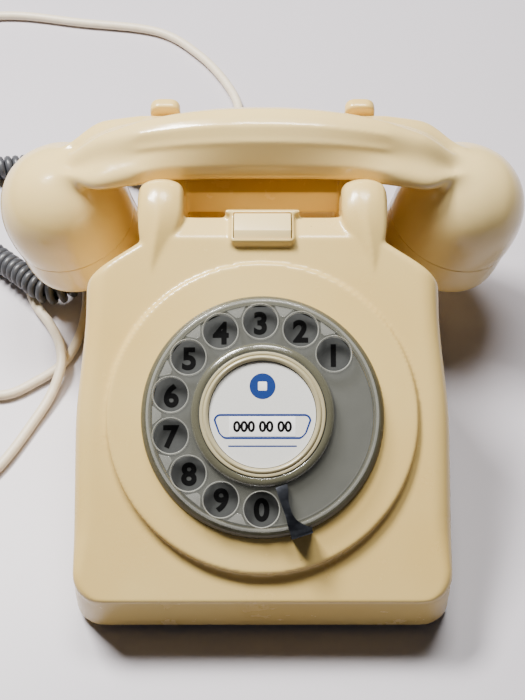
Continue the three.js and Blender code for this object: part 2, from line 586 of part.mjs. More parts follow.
// Turns a solid built around Z so that it sits on one end of the handset.
function onEnd(solid, side) {
  return solid.rotate([0, side * SET.tilt, 0]).translate([side * SET.endX, SET.y - 2, SET.endZ]);
}

function bulb() {
  const r = CAP_RADIUS;
  return lathe([[0, -0.1], [r, -0.1], [r + 0.5, 7.2], [r, 15.3], [r * 0.93, 23.5], [r * 0.78, 31.1],
    [r * 0.55, 37], [r * 0.28, 40.2], [0, 41.5]], 48);
}

function capShape(name) {
  const r = CAP_RADIUS;
  const outside = lathe([[0, -21.5], [r - 6.5, -21.5], [r - 2.8, -20.5], [r - 0.7, -17.6], [r, -12],
    [r, -GAP], [0, -GAP]], 56);
  const inside = lathe([[0, -18.4], [21, -18.4], [r - 3.6, -15.4], [r - 2.8, 2], [0, 2]], 48);
  let cap = outside.subtract(inside);
  const rings = name === 'ear' ? [[0, 1], [7, 6]] : [[0, 1], [6, 6], [12, 9]];
  for (const [radius, count] of rings) {
    for (let i = 0; i < count; i++) {
      const a = (i / count) * 2 * Math.PI;
      const hole = disc(1.3, -24, -17, 10).translate([radius * Math.cos(a), radius * Math.sin(a), 0]);
      cap = cap.subtract(hole);
    }
  }
  return cap;
}

function handsetBody() {
  const half = [14, 28, 40, 50, 60, 68, 76, 84, 90, 96];
  const inside = CAP_RADIUS - 3;
  const hollow = lathe([[0, -3], [inside, -3], [inside, 20], [inside - 5, 28], [0, 30]], 40);
  const below = box(-60, 60, -60, 60, -60, 0);
  let body = loft([...half.map((x) => -x).reverse(), 0, ...half].map(gripRing));
  for (const side of [-1, 1]) body = union(body, onEnd(bulb(), side));
  for (const side of [-1, 1]) body = body.subtract(onEnd(below, side)).subtract(onEnd(hollow, side));
  return body.subtract(aim(disc(3.1, -12, 12, 20), BOOT.at, BOOT.way));
}

function capsule(low, high, r) {
  return lathe([[0, low], [r - 2, low], [r, low + 2], [r, high - 3], [r - 6, high], [0, high]], 44);
}

function buildHandset() {
  add('handset_body', handsetBody(), IVORY, 0.28);
  add('mouth_cap', onEnd(capShape('mouth'), -1), IVORY, 0.3);
  add('ear_cap', onEnd(capShape('ear'), 1), IVORY, 0.3);
  add('transmitter', onEnd(capsule(-14, 4, 22), -1), 0x2a2a2c, 0.5);
  add('receiver', onEnd(capsule(-14, 8, 23), 1), 0xb4b6b8, 0.4, 0.6);
  const bootLine = [[0, -5], [2.7, -5], [2.7, 2.4], [4.6, 2.8], [4.4, 5], [3.3, 14], [2.6, 24], [0, 24]];
  const boot = lathe(bootLine, 28);
  add('handset_boot', aim(boot, BOOT.at, BOOT.way), 0x55575a, 0.6);
}

// ---------- cords ----------
function spareCoil() {
  const height = CORD_RADIUS * 2 * (SPARE.turns + 0.2);
  return ring(SPARE.radius - CORD_RADIUS, SPARE.radius + CORD_RADIUS, 0.1, 0.1 + height, 40)
    .translate([SPARE.x, SPARE.y, 0]);
}

function linePlug() {
  const shell = pad(0, 0, 8, 14, 0.2, 14, 3, 1.2);
  const pins = [-4, 0, 4].map((x) => along('y', disc(1.1, 0, 12, 12), x, -25, 7));
  return union(shell, ...pins).translate([SPARE.x + 2, SPARE.y - 43.5, 0]);
}

function gland(at) {
  const body = lathe([[0, -6], [5, -6], [5, 0.4], [7, 0.6], [7, 2], [5.4, 2.6], [3.6, 24], [0, 24]], 28);
  return along('y', body, at.x, CASE.rear + 0.1, at.z);
}

function buildCords() {
  add('line_gland', gland(LINE_GLAND), IVORY, 0.5);
  add('set_gland', gland(SET_GLAND), 0x55575a, 0.6);
  add('line_cord', tube(LINE_ROUTE, CORD_RADIUS, 8, 76), IVORY, 0.5);
  add('handset_cord', tube(CURLY_ROUTE, CURL_RADIUS, 8, 40), 0x5d5f61, 0.55);
  add('spare_coil', spareCoil(), IVORY, 0.5);
  add('line_plug', linePlug(), IVORY, 0.5);
}

add('case_shell', caseShell(), IVORY, 0.3);
add('base_plate', basePlate(), 0x77797b, 0.5, 0.7);
for (const [sx, name] of [[-1, 'left'], [1, 'right']]) {
  add(`foot_front_${name}`, foot(sx * FOOT.x, FOOT.front), BLACK, 0.85);
  add(`foot_rear_${name}`, foot(sx * FOOT.x, FOOT.rear), BLACK, 0.85);
  add(`case_screw_${name}`, caseScrew(sx * CASE_SCREW_X), STEEL, 0.35, 1);
}
buildDial();
buildButton();
buildHookSwitch();
buildRinger();
buildCircuit();
buildHandset();
buildCords();

export default group;
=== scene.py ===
# The looks of the rotary desk telephone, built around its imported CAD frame.
# Lengths are in millimetres in the telephone's own drawing frame, and finish_piece() and to_frame()
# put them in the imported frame's metres.
import math

import bmesh
import bpy
import numpy as np
from mathutils import Matrix, Quaternion, Vector


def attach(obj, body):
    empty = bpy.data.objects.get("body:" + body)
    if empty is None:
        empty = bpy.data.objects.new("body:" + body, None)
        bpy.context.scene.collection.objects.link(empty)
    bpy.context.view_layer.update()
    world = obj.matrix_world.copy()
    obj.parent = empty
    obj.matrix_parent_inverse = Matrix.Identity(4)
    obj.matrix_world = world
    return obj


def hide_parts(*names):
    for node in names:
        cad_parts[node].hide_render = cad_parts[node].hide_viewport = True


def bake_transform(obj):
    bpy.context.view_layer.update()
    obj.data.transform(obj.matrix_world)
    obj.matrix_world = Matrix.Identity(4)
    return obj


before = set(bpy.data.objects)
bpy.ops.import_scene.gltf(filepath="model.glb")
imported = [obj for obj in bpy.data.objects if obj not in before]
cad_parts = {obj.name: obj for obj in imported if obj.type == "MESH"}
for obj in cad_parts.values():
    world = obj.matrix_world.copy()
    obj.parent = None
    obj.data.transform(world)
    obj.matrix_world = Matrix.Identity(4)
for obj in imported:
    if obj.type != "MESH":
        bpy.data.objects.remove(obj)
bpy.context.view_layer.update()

# ---------- driving dimensions, in millimetres ----------
ORIGIN = (-0.35, 12.05)
CASE = dict(front=-107, rear=107, bottom=4, ridge=33.4, lip=32.2, land=43, saddle=99,
            half_front=82.5, half_rear=86, corner_front=13, corner_rear=20, wall=2.8, lean=2)
SLOPE = math.tan(math.radians(27.8))
LIP_Z = CASE["ridge"] + (CASE["lip"] - CASE["front"]) * SLOPE
DIAL_TILT, DIAL_Y, DIAL_Z = math.radians(26.3), -38.6, 73
PLINTH_RADIUS, DIAL_HOLE = 67, 40.5
WHEEL = dict(radius=49.5, low=5.4, high=8, pitch=39.9, hole=7.3, lip=8.1, hub=30.6)
FIRST_HOLE, HOLE_STEP = 40.4, 25.45
STOP_ANGLE = math.radians(18.2)
HORN_X, HORN_LEAN = 45, 3.5
WELL = dict(half=35, front=44, back=100, floor=67)
BAR = dict(front=66, back=84, low=83, high=97)
SET = dict(y=82.5, half=17.5, facet=10, low=104.6, crease=125.7, top=130, end_x=91.5, end_z=59.5, tilt=14)
GRIP_END = 96
CAP_RADIUS = 30.5
KEY = dict(y=36.6, half_x=12.5, half_y=6.7, top=110.6)
SCREW_X, GONG_X, GONG_Y, FOOT_X, FOOT_Y = 73, 31, 34, 62, 88
PLUNGER_Y = 81
GAP = 0.3
CORD_RADIUS = 2.5
CURL = dict(radius=6.7, wire=2.05, lead=14)
ON_TABLE = CORD_RADIUS + 0.15
OVER_CORD = 12.4  # centre height of the curly cord where it crosses the line cord
SPARE = dict(x=-188, y=-84, radius=26, turns=5)
LINE_GLAND, SET_GLAND = (-15, 107.1, 14), (-56, 107.1, 14)
BOOT_AT, BOOT_WAY = (-103.1, 111.6, 64.2), (-0.3, 0.55, -0.78)
UP = Vector((0, 0, 1))

LINE_ROUTE = [
    (-15, 133, 14), (-15, 141, 11.4), (-14.8, 149, 6.9), (-14.6, 157, ON_TABLE + 1),
    (-14.2, 169, ON_TABLE), (-13.6, 185, ON_TABLE), (-14, 212, ON_TABLE), (-21.5, 231, ON_TABLE),
    (-37, 253, ON_TABLE), (-60, 272, ON_TABLE), (-109, 281, ON_TABLE), (-160, 287, ON_TABLE),
    (-215, 270, ON_TABLE), (-250, 215, ON_TABLE), (-252, 140, ON_TABLE), (-225, 70, ON_TABLE),
    (-180, 30, ON_TABLE), (-129, 16, ON_TABLE), (-112, 24.5, ON_TABLE), (-100, 35, ON_TABLE),
    (-93.5, 50, ON_TABLE), (-91, 66, ON_TABLE), (-91.5, 81, ON_TABLE), (-94.4, 92.5, ON_TABLE),
    (-102, 100, ON_TABLE), (-111.5, 100.5, ON_TABLE), (-119, 94, ON_TABLE), (-121.3, 84, ON_TABLE),
    (-117.5, 72, ON_TABLE + 0.2), (-108, 57, ON_TABLE + 1.9), (-101.5, 42, 8.1), (-100, 30, 8),
    (-104, 16, ON_TABLE + 1.6), (-112, 0, ON_TABLE + 0.1), (-125, -23, ON_TABLE), (-141, -42, ON_TABLE),
    (-152.5, -61, ON_TABLE), (-156.4, -82, ON_TABLE),
]
CURLY_ROUTE = [
    (-110.6, 125.4, 44.7), (-111.5, 127, 42.3), (-113, 129.3, 36), (-113.6, 128.6, 28.5),
    (-111.6, 123, 20.5), (-107.4, 112.5, 14.3), (-102.5, 103.5, OVER_CORD + 0.2), (-98.8, 94, OVER_CORD),
    (-97.1, 84, OVER_CORD), (-98.4, 77.3, OVER_CORD), (-102.1, 73.6, OVER_CORD), (-107.1, 72.3, OVER_CORD),
    (-111.6, 73.4, OVER_CORD), (-116, 76.6, OVER_CORD), (-121, 81.4, 11.8), (-130, 90, 9.5),
    (-140, 99.5, 7.2), (-155, 112, 7), (-173, 121, 7), (-184, 134, 7), (-178, 149, 7), (-160, 158, 7),
    (-138, 161.5, 7), (-115, 163, 7), (-95, 163, 7), (-76, 161.5, 7.6), (-63, 153.5, 9.8),
    (-57, 143, 12.8), (-56, 136, 13.8), (-56, 131.4, 14),
]


# ---------- placing and meshing helpers ----------
def to_frame(p):
    return Vector(((p[0] - ORIGIN[0]) / 1000, (p[1] - ORIGIN[1]) / 1000, p[2] / 1000))


FRAME_MATRIX = Matrix.Scale(0.001, 4) @ Matrix.Translation((-ORIGIN[0], -ORIGIN[1], 0))
DIAL_MATRIX = Matrix.Translation((0, DIAL_Y, DIAL_Z)) @ Matrix.Rotation(DIAL_TILT, 4, "X")


def smooth(t):
    c = min(max(t, 0), 1)
    return c * c * (3 - 2 * c)


def turn_to(way):
    return Quaternion(UP.rotation_difference(Vector(way).normalized())).to_matrix().to_4x4()


def aim(at, way):
    return Matrix.Translation(at) @ turn_to(way)


def end_matrix(side):
    """Puts a shape made around Z on one end of the handset."""
    tilt = Matrix.Rotation(math.radians(side * SET["tilt"]), 4, "Y")
    return Matrix.Translation((side * SET["end_x"], SET["y"] - 2, SET["end_z"])) @ tilt


def lying(x, y, z, degrees=-90):
    """Turns the Z axis of a shape to +Y, or to -Y with 90 degrees, and moves it."""
    return Matrix.Translation((x, y, z)) @ Matrix.Rotation(math.radians(degrees), 4, "X")


def spin(profile, segments=96):
    """A closed surface turned around Z from (radius, height) pairs, which end on the axis or close."""
    closed = profile[0] == profile[-1]
    pairs = profile[:-1] if closed else profile
    verts, rows = [], []
    for r, h in pairs:
        if r < 1e-6:
            rows.append([len(verts)] * segments)
            verts.append((0, 0, h))
            continue
        rows.append(list(range(len(verts), len(verts) + segments)))
        for k in range(segments):
            a = 2 * math.pi * k / segments
            verts.append((r * math.cos(a), r * math.sin(a), h))
    faces = []
    for i in range(len(rows) if closed else len(rows) - 1):
        low, high = rows[i], rows[(i + 1) % len(rows)]
        for k in range(segments):
            n = (k + 1) % segments
            face = []
            for v in (low[k], low[n], high[n], high[k]):
                if v not in face:
                    face.append(v)
            if len(face) > 2:
                faces.append(face)
    return verts, faces


def loft(rings, ends=True):
    n = len(rings[0])
    verts = [tuple(p) for ring in rings for p in ring]
    faces = []
    for r in range(len(rings) - 1):
        for k in range(n):
            a, b = r * n + k, r * n + (k + 1) % n
            faces.append((a, b, b + n, a + n))
    if ends:
        faces.append(tuple(reversed(range(n))))
        faces.append(tuple(range((len(rings) - 1) * n, len(rings) * n)))
    return verts, faces


def block(x0, x1, y0, y1, z0, z1):
    verts = [(x, y, z) for z in (z0, z1) for y in (y0, y1) for x in (x0, x1)]
    return verts, [(0, 2, 3, 1), (4, 5, 7, 6), (0, 1, 5, 4), (2, 6, 7, 3), (0, 4, 6, 2), (1, 3, 7, 5)]


def rounded_outline(half_x, half_y, radius, steps=6):
    points = []
    for cx, cy, start in ((1, -1, -90), (1, 1, 0), (-1, 1, 90), (-1, -1, 180)):
        for k in range(steps + 1):
            a = math.radians(start + 90 * k / steps)
            points.append((cx * (half_x - radius) + radius * math.cos(a),
                           cy * (half_y - radius) + radius * math.sin(a)))
    return points


def slab(x, y, half_x, half_y, z0, z1, radius=2, edge=0.5, steps=5):
    """A plate with rounded corners and rounded edges."""
    rings = []
    for low in (True, False):
        for k in range(4):
            a = math.pi / 2 * (k / 3 if low else 1 - k / 3)
            inset = edge * (1 - math.sin(a))
            z = z0 + edge * (1 - math.cos(a)) if low else z1 - edge * (1 - math.cos(a))
            outline = rounded_outline(half_x - inset, half_y - inset, max(radius - inset, 0.1), steps)
            rings.append([(x + px, y + py, z) for px, py in outline])
    return loft(rings)


def sweep(points, radius, sides=16):
    """A round tube along points, with closed ends."""
    pts = [Vector(p) for p in points]
    tangents = [(pts[min(i + 1, len(pts) - 1)] - pts[max(i - 1, 0)]).normalized() for i in range(len(pts))]
    side = tangents[0].orthogonal().normalized()
    rings = []
    for i, p in enumerate(pts):
        if i:
            side = (side - tangents[i] * side.dot(tangents[i])).normalized()
        other = tangents[i].cross(side)
        r = radius(i / (len(pts) - 1)) if callable(radius) else radius
        rings.append([p + r * (math.cos(a) * side + math.sin(a) * other)
                      for a in (2 * math.pi * k / sides for k in range(sides))])
    return loft(rings)


def merge(*shapes):
    verts, faces = [], []
    for v, f in shapes:
        offset = len(verts)
        verts += v
        faces += [tuple(i + offset for i in face) for face in f]
    return verts, faces


def moved(shape, matrix):
    return [tuple(matrix @ Vector(v)) for v in shape[0]], shape[1]


def shift(shape, x=0, y=0, z=0):
    return moved(shape, Matrix.Translation((x, y, z)))


def make(name, shape, matrix=None, angle=35):
    """An object from a shape in drawing millimetres. Its faces are turned outwards."""
    mesh = bpy.data.meshes.new(name)
    mesh.from_pydata([tuple(v) for v in shape[0]], [], [tuple(f) for f in shape[1]])
    if matrix is not None:
        mesh.transform(matrix)
    bm = bmesh.new()
    bm.from_mesh(mesh)
    bmesh.ops.remove_doubles(bm, verts=bm.verts, dist=1e-5)
    bmesh.ops.recalc_face_normals(bm, faces=bm.faces)
    bm.to_mesh(mesh)
    bm.free()
    obj = bpy.data.objects.new(name, mesh)
    bpy.context.collection.objects.link(obj)
    obj["crease"] = angle
    return obj


def bake(obj):
    """Applies the modifiers on obj to its mesh."""
    graph = bpy.context.evaluated_depsgraph_get()
    mesh = bpy.data.meshes.new_from_object(obj.evaluated_get(graph))
    obj.modifiers.clear()
    old = obj.data
    obj.data = mesh
    bpy.data.meshes.remove(old)
    return obj


def cut(obj, *shapes, operation="DIFFERENCE"):
    for shape in shapes:
        tool = make("tool", shape)
        modifier = obj.modifiers.new("cut", "BOOLEAN")
        modifier.operation = operation
        modifier.solver = "EXACT"
        modifier.object = tool
        bake(obj)
        bpy.data.objects.remove(tool)
    return obj


def soften(obj, voxel, turns, keep=0.0):
    """Joins overlapping closed pieces into one skin and rounds its edges, as a moulding has them."""
    modifier = obj.modifiers.new("skin", "REMESH")
    modifier.mode = "VOXEL"
    modifier.voxel_size = voxel
    bake(obj)
    modifier = obj.modifiers.new("round", "SMOOTH")
    modifier.factor = 0.5
    modifier.iterations = turns
    bake(obj)
    if keep:
        modifier = obj.modifiers.new("thin", "DECIMATE")
        modifier.ratio = keep
        bake(obj)
    return obj


def rounded_edges(obj, width, segments=2, angle=30):
    modifier = obj.modifiers.new("edge", "BEVEL")
    modifier.width = width
    modifier.segments = segments
    modifier.limit_method = "ANGLE"
    modifier.angle_limit = math.radians(angle)
    modifier.harden_normals = False
    return bake(obj)


def finish_piece(obj, material, body, slot, *nodes):
    """Puts a piece made in drawing millimetres into the frame, with its finish, body and CAD nodes."""
    obj.data.transform(FRAME_MATRIX)
    obj.data.materials.clear()
    obj.data.materials.append(material)
    angle = math.radians(obj.get("crease", 35))
    obj.data.shade_smooth()
    bm = bmesh.new()
    bm.from_mesh(obj.data)
    for e in bm.edges:
        e.smooth = len(e.link_faces) != 2 or e.calc_face_angle(0) < angle
    bm.to_mesh(obj.data)
    bm.free()
    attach(obj, body)
    if nodes:
        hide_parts(*nodes)
    return obj


def turned(name, profile, matrix, material, body, slot, *nodes, segments=128, edge=0.0):
    piece = make(name, spin(profile, segments), matrix)
    if edge:
        rounded_edges(piece, edge)
    return finish_piece(piece, material, body, slot, *nodes)


# ---------- materials ----------
def linear(rgb):
    return tuple((c / 12.92 if c <= 0.04045 else ((c + 0.055) / 1.055) ** 2.4) for c in rgb) + (1,)


def new_material(name):
    material = bpy.data.materials.new(name)
    material.use_nodes = True
    nodes, links = material.node_tree.nodes, material.node_tree.links
    shader = nodes["Principled BSDF"]
    place = nodes.new("ShaderNodeTexCoord")
    return material, nodes, links, shader, place


def noise(nodes, links, place, scale, detail=3.0, roughness=0.5):
    node = nodes.new("ShaderNodeTexNoise")
    node.inputs["Scale"].default_value = scale
    node.inputs["Detail"].default_value = detail
    node.inputs["Roughness"].default_value = roughness
    links.new(place.outputs["Object"], node.inputs["Vector"])
    return node


def ramp(nodes, links, source, stops):
    node = nodes.new("ShaderNodeValToRGB")
    elements = node.color_ramp.elements
    while len(elements) < len(stops):
        elements.new(0.5)
    for element, (at, color) in zip(elements, stops):
        element.position = at
        element.color = color
    links.new(source, node.inputs["Fac"])
    return node


def bump(nodes, links, shader, source, strength, distance):
    node = nodes.new("ShaderNodeBump")
    node.inputs["Strength"].default_value = strength
    node.inputs["Distance"].default_value = distance
    links.new(source, node.inputs["Height"])
    links.new(node.outputs["Normal"], shader.inputs["Normal"])
    return node


def moulded_plastic(name, color, worn, roughness=0.26, coat=0.0, specks=True):
    """Glossy aged moulding: slow yellowing, tiny dark specks, fine scratches in the gloss."""
    material, nodes, links, shader, place = new_material(name)
    slow = noise(nodes, links, place, 14, 4)
    base = ramp(nodes, links, slow.outputs["Fac"], [(0.3, linear(color)), (0.75, linear(worn))])
    color_out = base.outputs["Color"]
    if specks:
        dots = nodes.new("ShaderNodeTexVoronoi")
        dots.inputs["Scale"].default_value = 130
        links.new(place.outputs["Object"], dots.inputs["Vector"])
        near = ramp(nodes, links, dots.outputs["Distance"], [(0.028, (1, 1, 1, 1)), (0.05, (0, 0, 0, 1))])
        patch = noise(nodes, links, place, 31, 2)
        some = ramp(nodes, links, patch.outputs["Fac"], [(0.6, (0, 0, 0, 1)), (0.68, (1, 1, 1, 1))])
        both = nodes.new("ShaderNodeMath")
        both.operation = "MULTIPLY"
        links.new(near.outputs["Color"], both.inputs[0])
        links.new(some.outputs["Color"], both.inputs[1])
        mix = nodes.new("ShaderNodeMix")
        mix.data_type = "RGBA"
        mix.inputs["B"].default_value = linear((0.45, 0.36, 0.24))
        links.new(both.outputs["Value"], mix.inputs["Factor"])
        links.new(color_out, mix.inputs["A"])
        color_out = mix.outputs["Result"]
    links.new(color_out, shader.inputs["Base Color"])
    rub = noise(nodes, links, place, 55, 5, 0.65)
    rough = nodes.new("ShaderNodeMapRange")
    rough.inputs["To Min"].default_value = roughness - 0.05
    rough.inputs["To Max"].default_value = roughness + 0.12
    links.new(rub.outputs["Fac"], rough.inputs["Value"])
    links.new(rough.outputs["Result"], shader.inputs["Roughness"])
    shader.inputs["IOR"].default_value = 1.5
    shader.inputs["Coat Weight"].default_value = coat
    shader.inputs["Coat Roughness"].default_value = 0.08
    shader.inputs["Subsurface Weight"].default_value = 0.04
    shader.inputs["Subsurface Radius"].default_value = (0.004, 0.003, 0.0015)
    fine = noise(nodes, links, place, 420, 2)
    bump(nodes, links, shader, fine.outputs["Fac"], 0.05, 0.0004)
    return material


def metal(name, color, roughness=0.32, grain=600, metallic=1.0):
    material, nodes, links, shader, place = new_material(name)
    stretch = nodes.new("ShaderNodeMapping")
    stretch.inputs["Scale"].default_value = (1, 1, 0.08)
    links.new(place.outputs["Object"], stretch.inputs["Vector"])
    lines = nodes.new("ShaderNodeTexNoise")
    lines.inputs["Scale"].default_value = grain
    links.new(stretch.outputs["Vector"], lines.inputs["Vector"])
    tint = ramp(nodes, links, lines.outputs["Fac"],
                [(0.25, linear([c * 0.86 for c in color])), (0.8, linear(color))])
    links.new(tint.outputs["Color"], shader.inputs["Base Color"])
    rough = nodes.new("ShaderNodeMapRange")
    rough.inputs["To Min"].default_value = roughness - 0.08
    rough.inputs["To Max"].default_value = roughness + 0.14
    links.new(lines.outputs["Fac"], rough.inputs["Value"])
    links.new(rough.outputs["Result"], shader.inputs["Roughness"])
    shader.inputs["Metallic"].default_value = metallic
    bump(nodes, links, shader, lines.outputs["Fac"], 0.06, 0.0003)
    return material


def matt(name, color, other=None, roughness=0.6, grain=500, depth=0.15, size=0.0004, shine=0.5):
    material, nodes, links, shader, place = new_material(name)
    grit = noise(nodes, links, place, grain, 4, 0.6)
    tint = ramp(nodes, links, grit.outputs["Fac"],
                [(0.3, linear(color)), (0.72, linear(other or [c * 0.9 for c in color]))])
    links.new(tint.outputs["Color"], shader.inputs["Base Color"])
    wide = noise(nodes, links, place, grain / 12, 3)
    rough = nodes.new("ShaderNodeMapRange")
    rough.inputs["To Min"].default_value = roughness - 0.07
    rough.inputs["To Max"].default_value = roughness + 0.1
    links.new(wide.outputs["Fac"], rough.inputs["Value"])
    links.new(rough.outputs["Result"], shader.inputs["Roughness"])
    shader.inputs["Specular IOR Level"].default_value = shine
    bump(nodes, links, shader, grit.outputs["Fac"], depth, size)
    return material


def clear_plastic(name, color, alpha, roughness=0.1):
    material, nodes, links, shader, place = new_material(name)
    haze = noise(nodes, links, place, 90, 4, 0.6)
    tint = ramp(nodes, links, haze.outputs["Fac"],
                [(0.3, linear(color)), (0.75, linear([c * 0.93 for c in color]))])
    links.new(tint.outputs["Color"], shader.inputs["Base Color"])
    rough = nodes.new("ShaderNodeMapRange")
    rough.inputs["To Min"].default_value = roughness - 0.04
    rough.inputs["To Max"].default_value = roughness + 0.1
    links.new(haze.outputs["Fac"], rough.inputs["Value"])
    links.new(rough.outputs["Result"], shader.inputs["Roughness"])
    shader.inputs["Alpha"].default_value = alpha
    shader.inputs["IOR"].default_value = 1.49
    shader.inputs["Specular IOR Level"].default_value = 1.0
    shader.inputs["Coat Weight"].default_value = 1.0
    shader.inputs["Coat Roughness"].default_value = 0.04
    return material


M = dict(
    case=moulded_plastic("case_plastic", (0.90, 0.785, 0.50), (0.87, 0.735, 0.43), 0.22, 0.2),
    handset=moulded_plastic("handset_plastic", (0.925, 0.82, 0.565), (0.90, 0.78, 0.50), 0.15, 0.4),
    key=moulded_plastic("key_plastic", (0.92, 0.82, 0.58), (0.90, 0.79, 0.54), 0.28, specks=False),
    hub=moulded_plastic("hub_plastic", (0.70, 0.66, 0.52), (0.65, 0.6, 0.46), 0.2, specks=False),
    vinyl=matt("cream_vinyl", (0.90, 0.85, 0.76), (0.87, 0.81, 0.7), 0.42, 300, 0.08),
    grey_vinyl=matt("grey_vinyl", (0.30, 0.305, 0.32), (0.26, 0.265, 0.28), 0.34, 300, 0.06),
    rubber=matt("foot_rubber", (0.07, 0.07, 0.072), (0.1, 0.1, 0.1), 0.8, 700, 0.4),
    steel=metal("zinc_steel", (0.72, 0.73, 0.74)),
    brass=metal("brass", (0.78, 0.64, 0.36), 0.26),
    can=metal("drawn_can", (0.75, 0.76, 0.78), 0.28),
    stop=metal("blued_steel", (0.23, 0.24, 0.265), 0.34, 900, 0.8),
    base=matt("grey_enamel", (0.4, 0.41, 0.42), (0.36, 0.37, 0.38), 0.45, 350, 0.1),
    plate=matt("dial_grey", (0.27, 0.275, 0.27), (0.25, 0.255, 0.25), 0.45, 800, 0.06, shine=0.35),
    ink=matt("black_ink", (0.03, 0.03, 0.032), (0.045, 0.045, 0.045), 0.75, 900, 0.04, shine=0.08),
    rim=matt("olive_rim", (0.34, 0.33, 0.27), (0.30, 0.29, 0.23), 0.25, 500, 0.05),
    paper=matt("label_paper", (0.87, 0.865, 0.845), (0.84, 0.835, 0.81), 0.8, 1500, 0.1, 0.0002),
    white=matt("strip_paper", (0.95, 0.95, 0.94), (0.93, 0.93, 0.92), 0.8, 1500, 0.1, 0.0002),
    blue=matt("blue_ink", (0.07, 0.19, 0.43), (0.09, 0.21, 0.47), 0.6, 1500, 0.03, 0.0002, 0.2),
    phenolic=matt("phenolic", (0.42, 0.26, 0.15), (0.34, 0.2, 0.11), 0.45, 400, 0.1),
    black=matt("black_plastic", (0.1, 0.1, 0.105), (0.07, 0.07, 0.075), 0.5, 400, 0.1),
    tape=matt("winding_tape", (0.45, 0.2, 0.12), (0.36, 0.15, 0.1), 0.5, 260, 0.2),
    board=matt("circuit_laminate", (0.46, 0.36, 0.18), (0.4, 0.3, 0.14), 0.5, 600, 0.1),
    clear=clear_plastic("clear_acrylic", (0.66, 0.66, 0.61), 0.13),
    # Paler, more opaque copy of the clear acrylic: a painted highlight on the finger hole lips.
    lip=clear_plastic("clear_lip_painted_highlight", (0.84, 0.84, 0.80), 0.36, 0.06),
    # Paler copy of the clear acrylic: a painted highlight on the wheel's rim edge and on the webs between
    # holes.
    web=clear_plastic("clear_web_painted_highlight", (0.74, 0.74, 0.71), 0.24, 0.12),
    band=clear_plastic("olive_acrylic", (0.42, 0.41, 0.33), 0.62, 0.14),
)


# ---------- camera ----------
def add_camera():
    data = bpy.data.cameras.new("camera")
    camera = bpy.data.objects.new("camera", data)
    bpy.context.collection.objects.link(camera)
    camera.location = to_frame((0, -341, 572))
    camera.rotation_euler = (math.radians(90 - 56), 0, 0)
    data.sensor_fit = "HORIZONTAL"
    data.sensor_width = 36
    data.lens = 36 * 1360 / 525
    bpy.context.scene.camera = camera


add_camera()


# ---------- cords ----------
def spline(points, step):
    """Evenly spaced points on a centripetal curve through the given ones."""
    pts = [Vector(p) for p in points]
    pts = [pts[0] * 2 - pts[1]] + pts + [pts[-1] * 2 - pts[-2]]
    dense = []
    for i in range(1, len(pts) - 2):
        p0, p1, p2, p3 = pts[i - 1:i + 3]
        t0 = 0
        t1 = t0 + (p1 - p0).length ** 0.5
        t2 = t1 + (p2 - p1).length ** 0.5
        t3 = t2 + (p3 - p2).length ** 0.5
        for k in range(24):
            t = t1 + (t2 - t1) * k / 24
            a1 = p0 * ((t1 - t) / (t1 - t0)) + p1 * ((t - t0) / (t1 - t0))
            a2 = p1 * ((t2 - t) / (t2 - t1)) + p2 * ((t - t1) / (t2 - t1))
            a3 = p2 * ((t3 - t) / (t3 - t2)) + p3 * ((t - t2) / (t3 - t2))
            b1 = a1 * ((t2 - t) / (t2 - t0)) + a2 * ((t - t0) / (t2 - t0))
            b2 = a2 * ((t3 - t) / (t3 - t1)) + a3 * ((t - t1) / (t3 - t1))
            dense.append(b1 * ((t2 - t) / (t2 - t1)) + b2 * ((t - t1) / (t2 - t1)))
    dense.append(pts[-2])
    out, left = [dense[0]], step
    for a, b in zip(dense, dense[1:]):
        length = (b - a).length
        while left <= length and length > 0:
            out.append(a.lerp(b, left / length))
            left += step
        left -= length
    if (out[-1] - dense[-1]).length < step * 0.4:
        out.pop()
    return out + [dense[-1]]


def path_length(points):
    return sum((b - a).length for a, b in zip(points, points[1:]))


def coil_points():
    """Turns of the spare cord, one on another, from the cord's end round to the plug."""
    points = []
    per_turn = 30
    pitch = CORD_RADIUS * 2 + 0.1
    turns = SPARE["turns"] + 0.25
    count = int(per_turn * turns)
    for k in range(2, count + 1):
        a = -2 * math.pi * k / per_turn
        x, y = SPARE["radius"] * math.cos(a), SPARE["radius"] * math.sin(a)
        points.append((SPARE["x"] + x, SPARE["y"] + y, ON_TABLE + pitch * max(0, k / per_turn - 0.2)))
    return points


def line_cord():
    whole = spline(LINE_ROUTE[:-1] + coil_points(), 3)
    obj = make("line_cord_cream", sweep(whole, CORD_RADIUS, 14), angle=60)
    finish_piece(obj, M["vinyl"], "telephone", "ivory_soft", "line_cord", "spare_coil")


def plug():
    x, y = SPARE["x"] + 2, SPARE["y"] - 43.5
    shell = make("line_plug_cream", slab(x, y, 8, 14, 0.2, 14, 3, 1.4, 6))
    ribs = [slab(x, y + 10 - 2.4 * k, 8.3, 0.6, 2.4, 11.8, 0.5, 0.25, 2) for k in range(5)]
    pin = spin([(0, 0), (1.1, 0), (1.1, 11.2), (0.8, 11.8), (0, 12)], 24)
    pins = [moved(pin, lying(x + dx, y - 13.5, 7, 90)) for dx in (-4, 0, 4)]
    for shape in ribs + pins:
        cut(shell, shape, operation="UNION")
    return finish_piece(shell, M["vinyl"], "telephone", "ivory_soft", "line_plug")


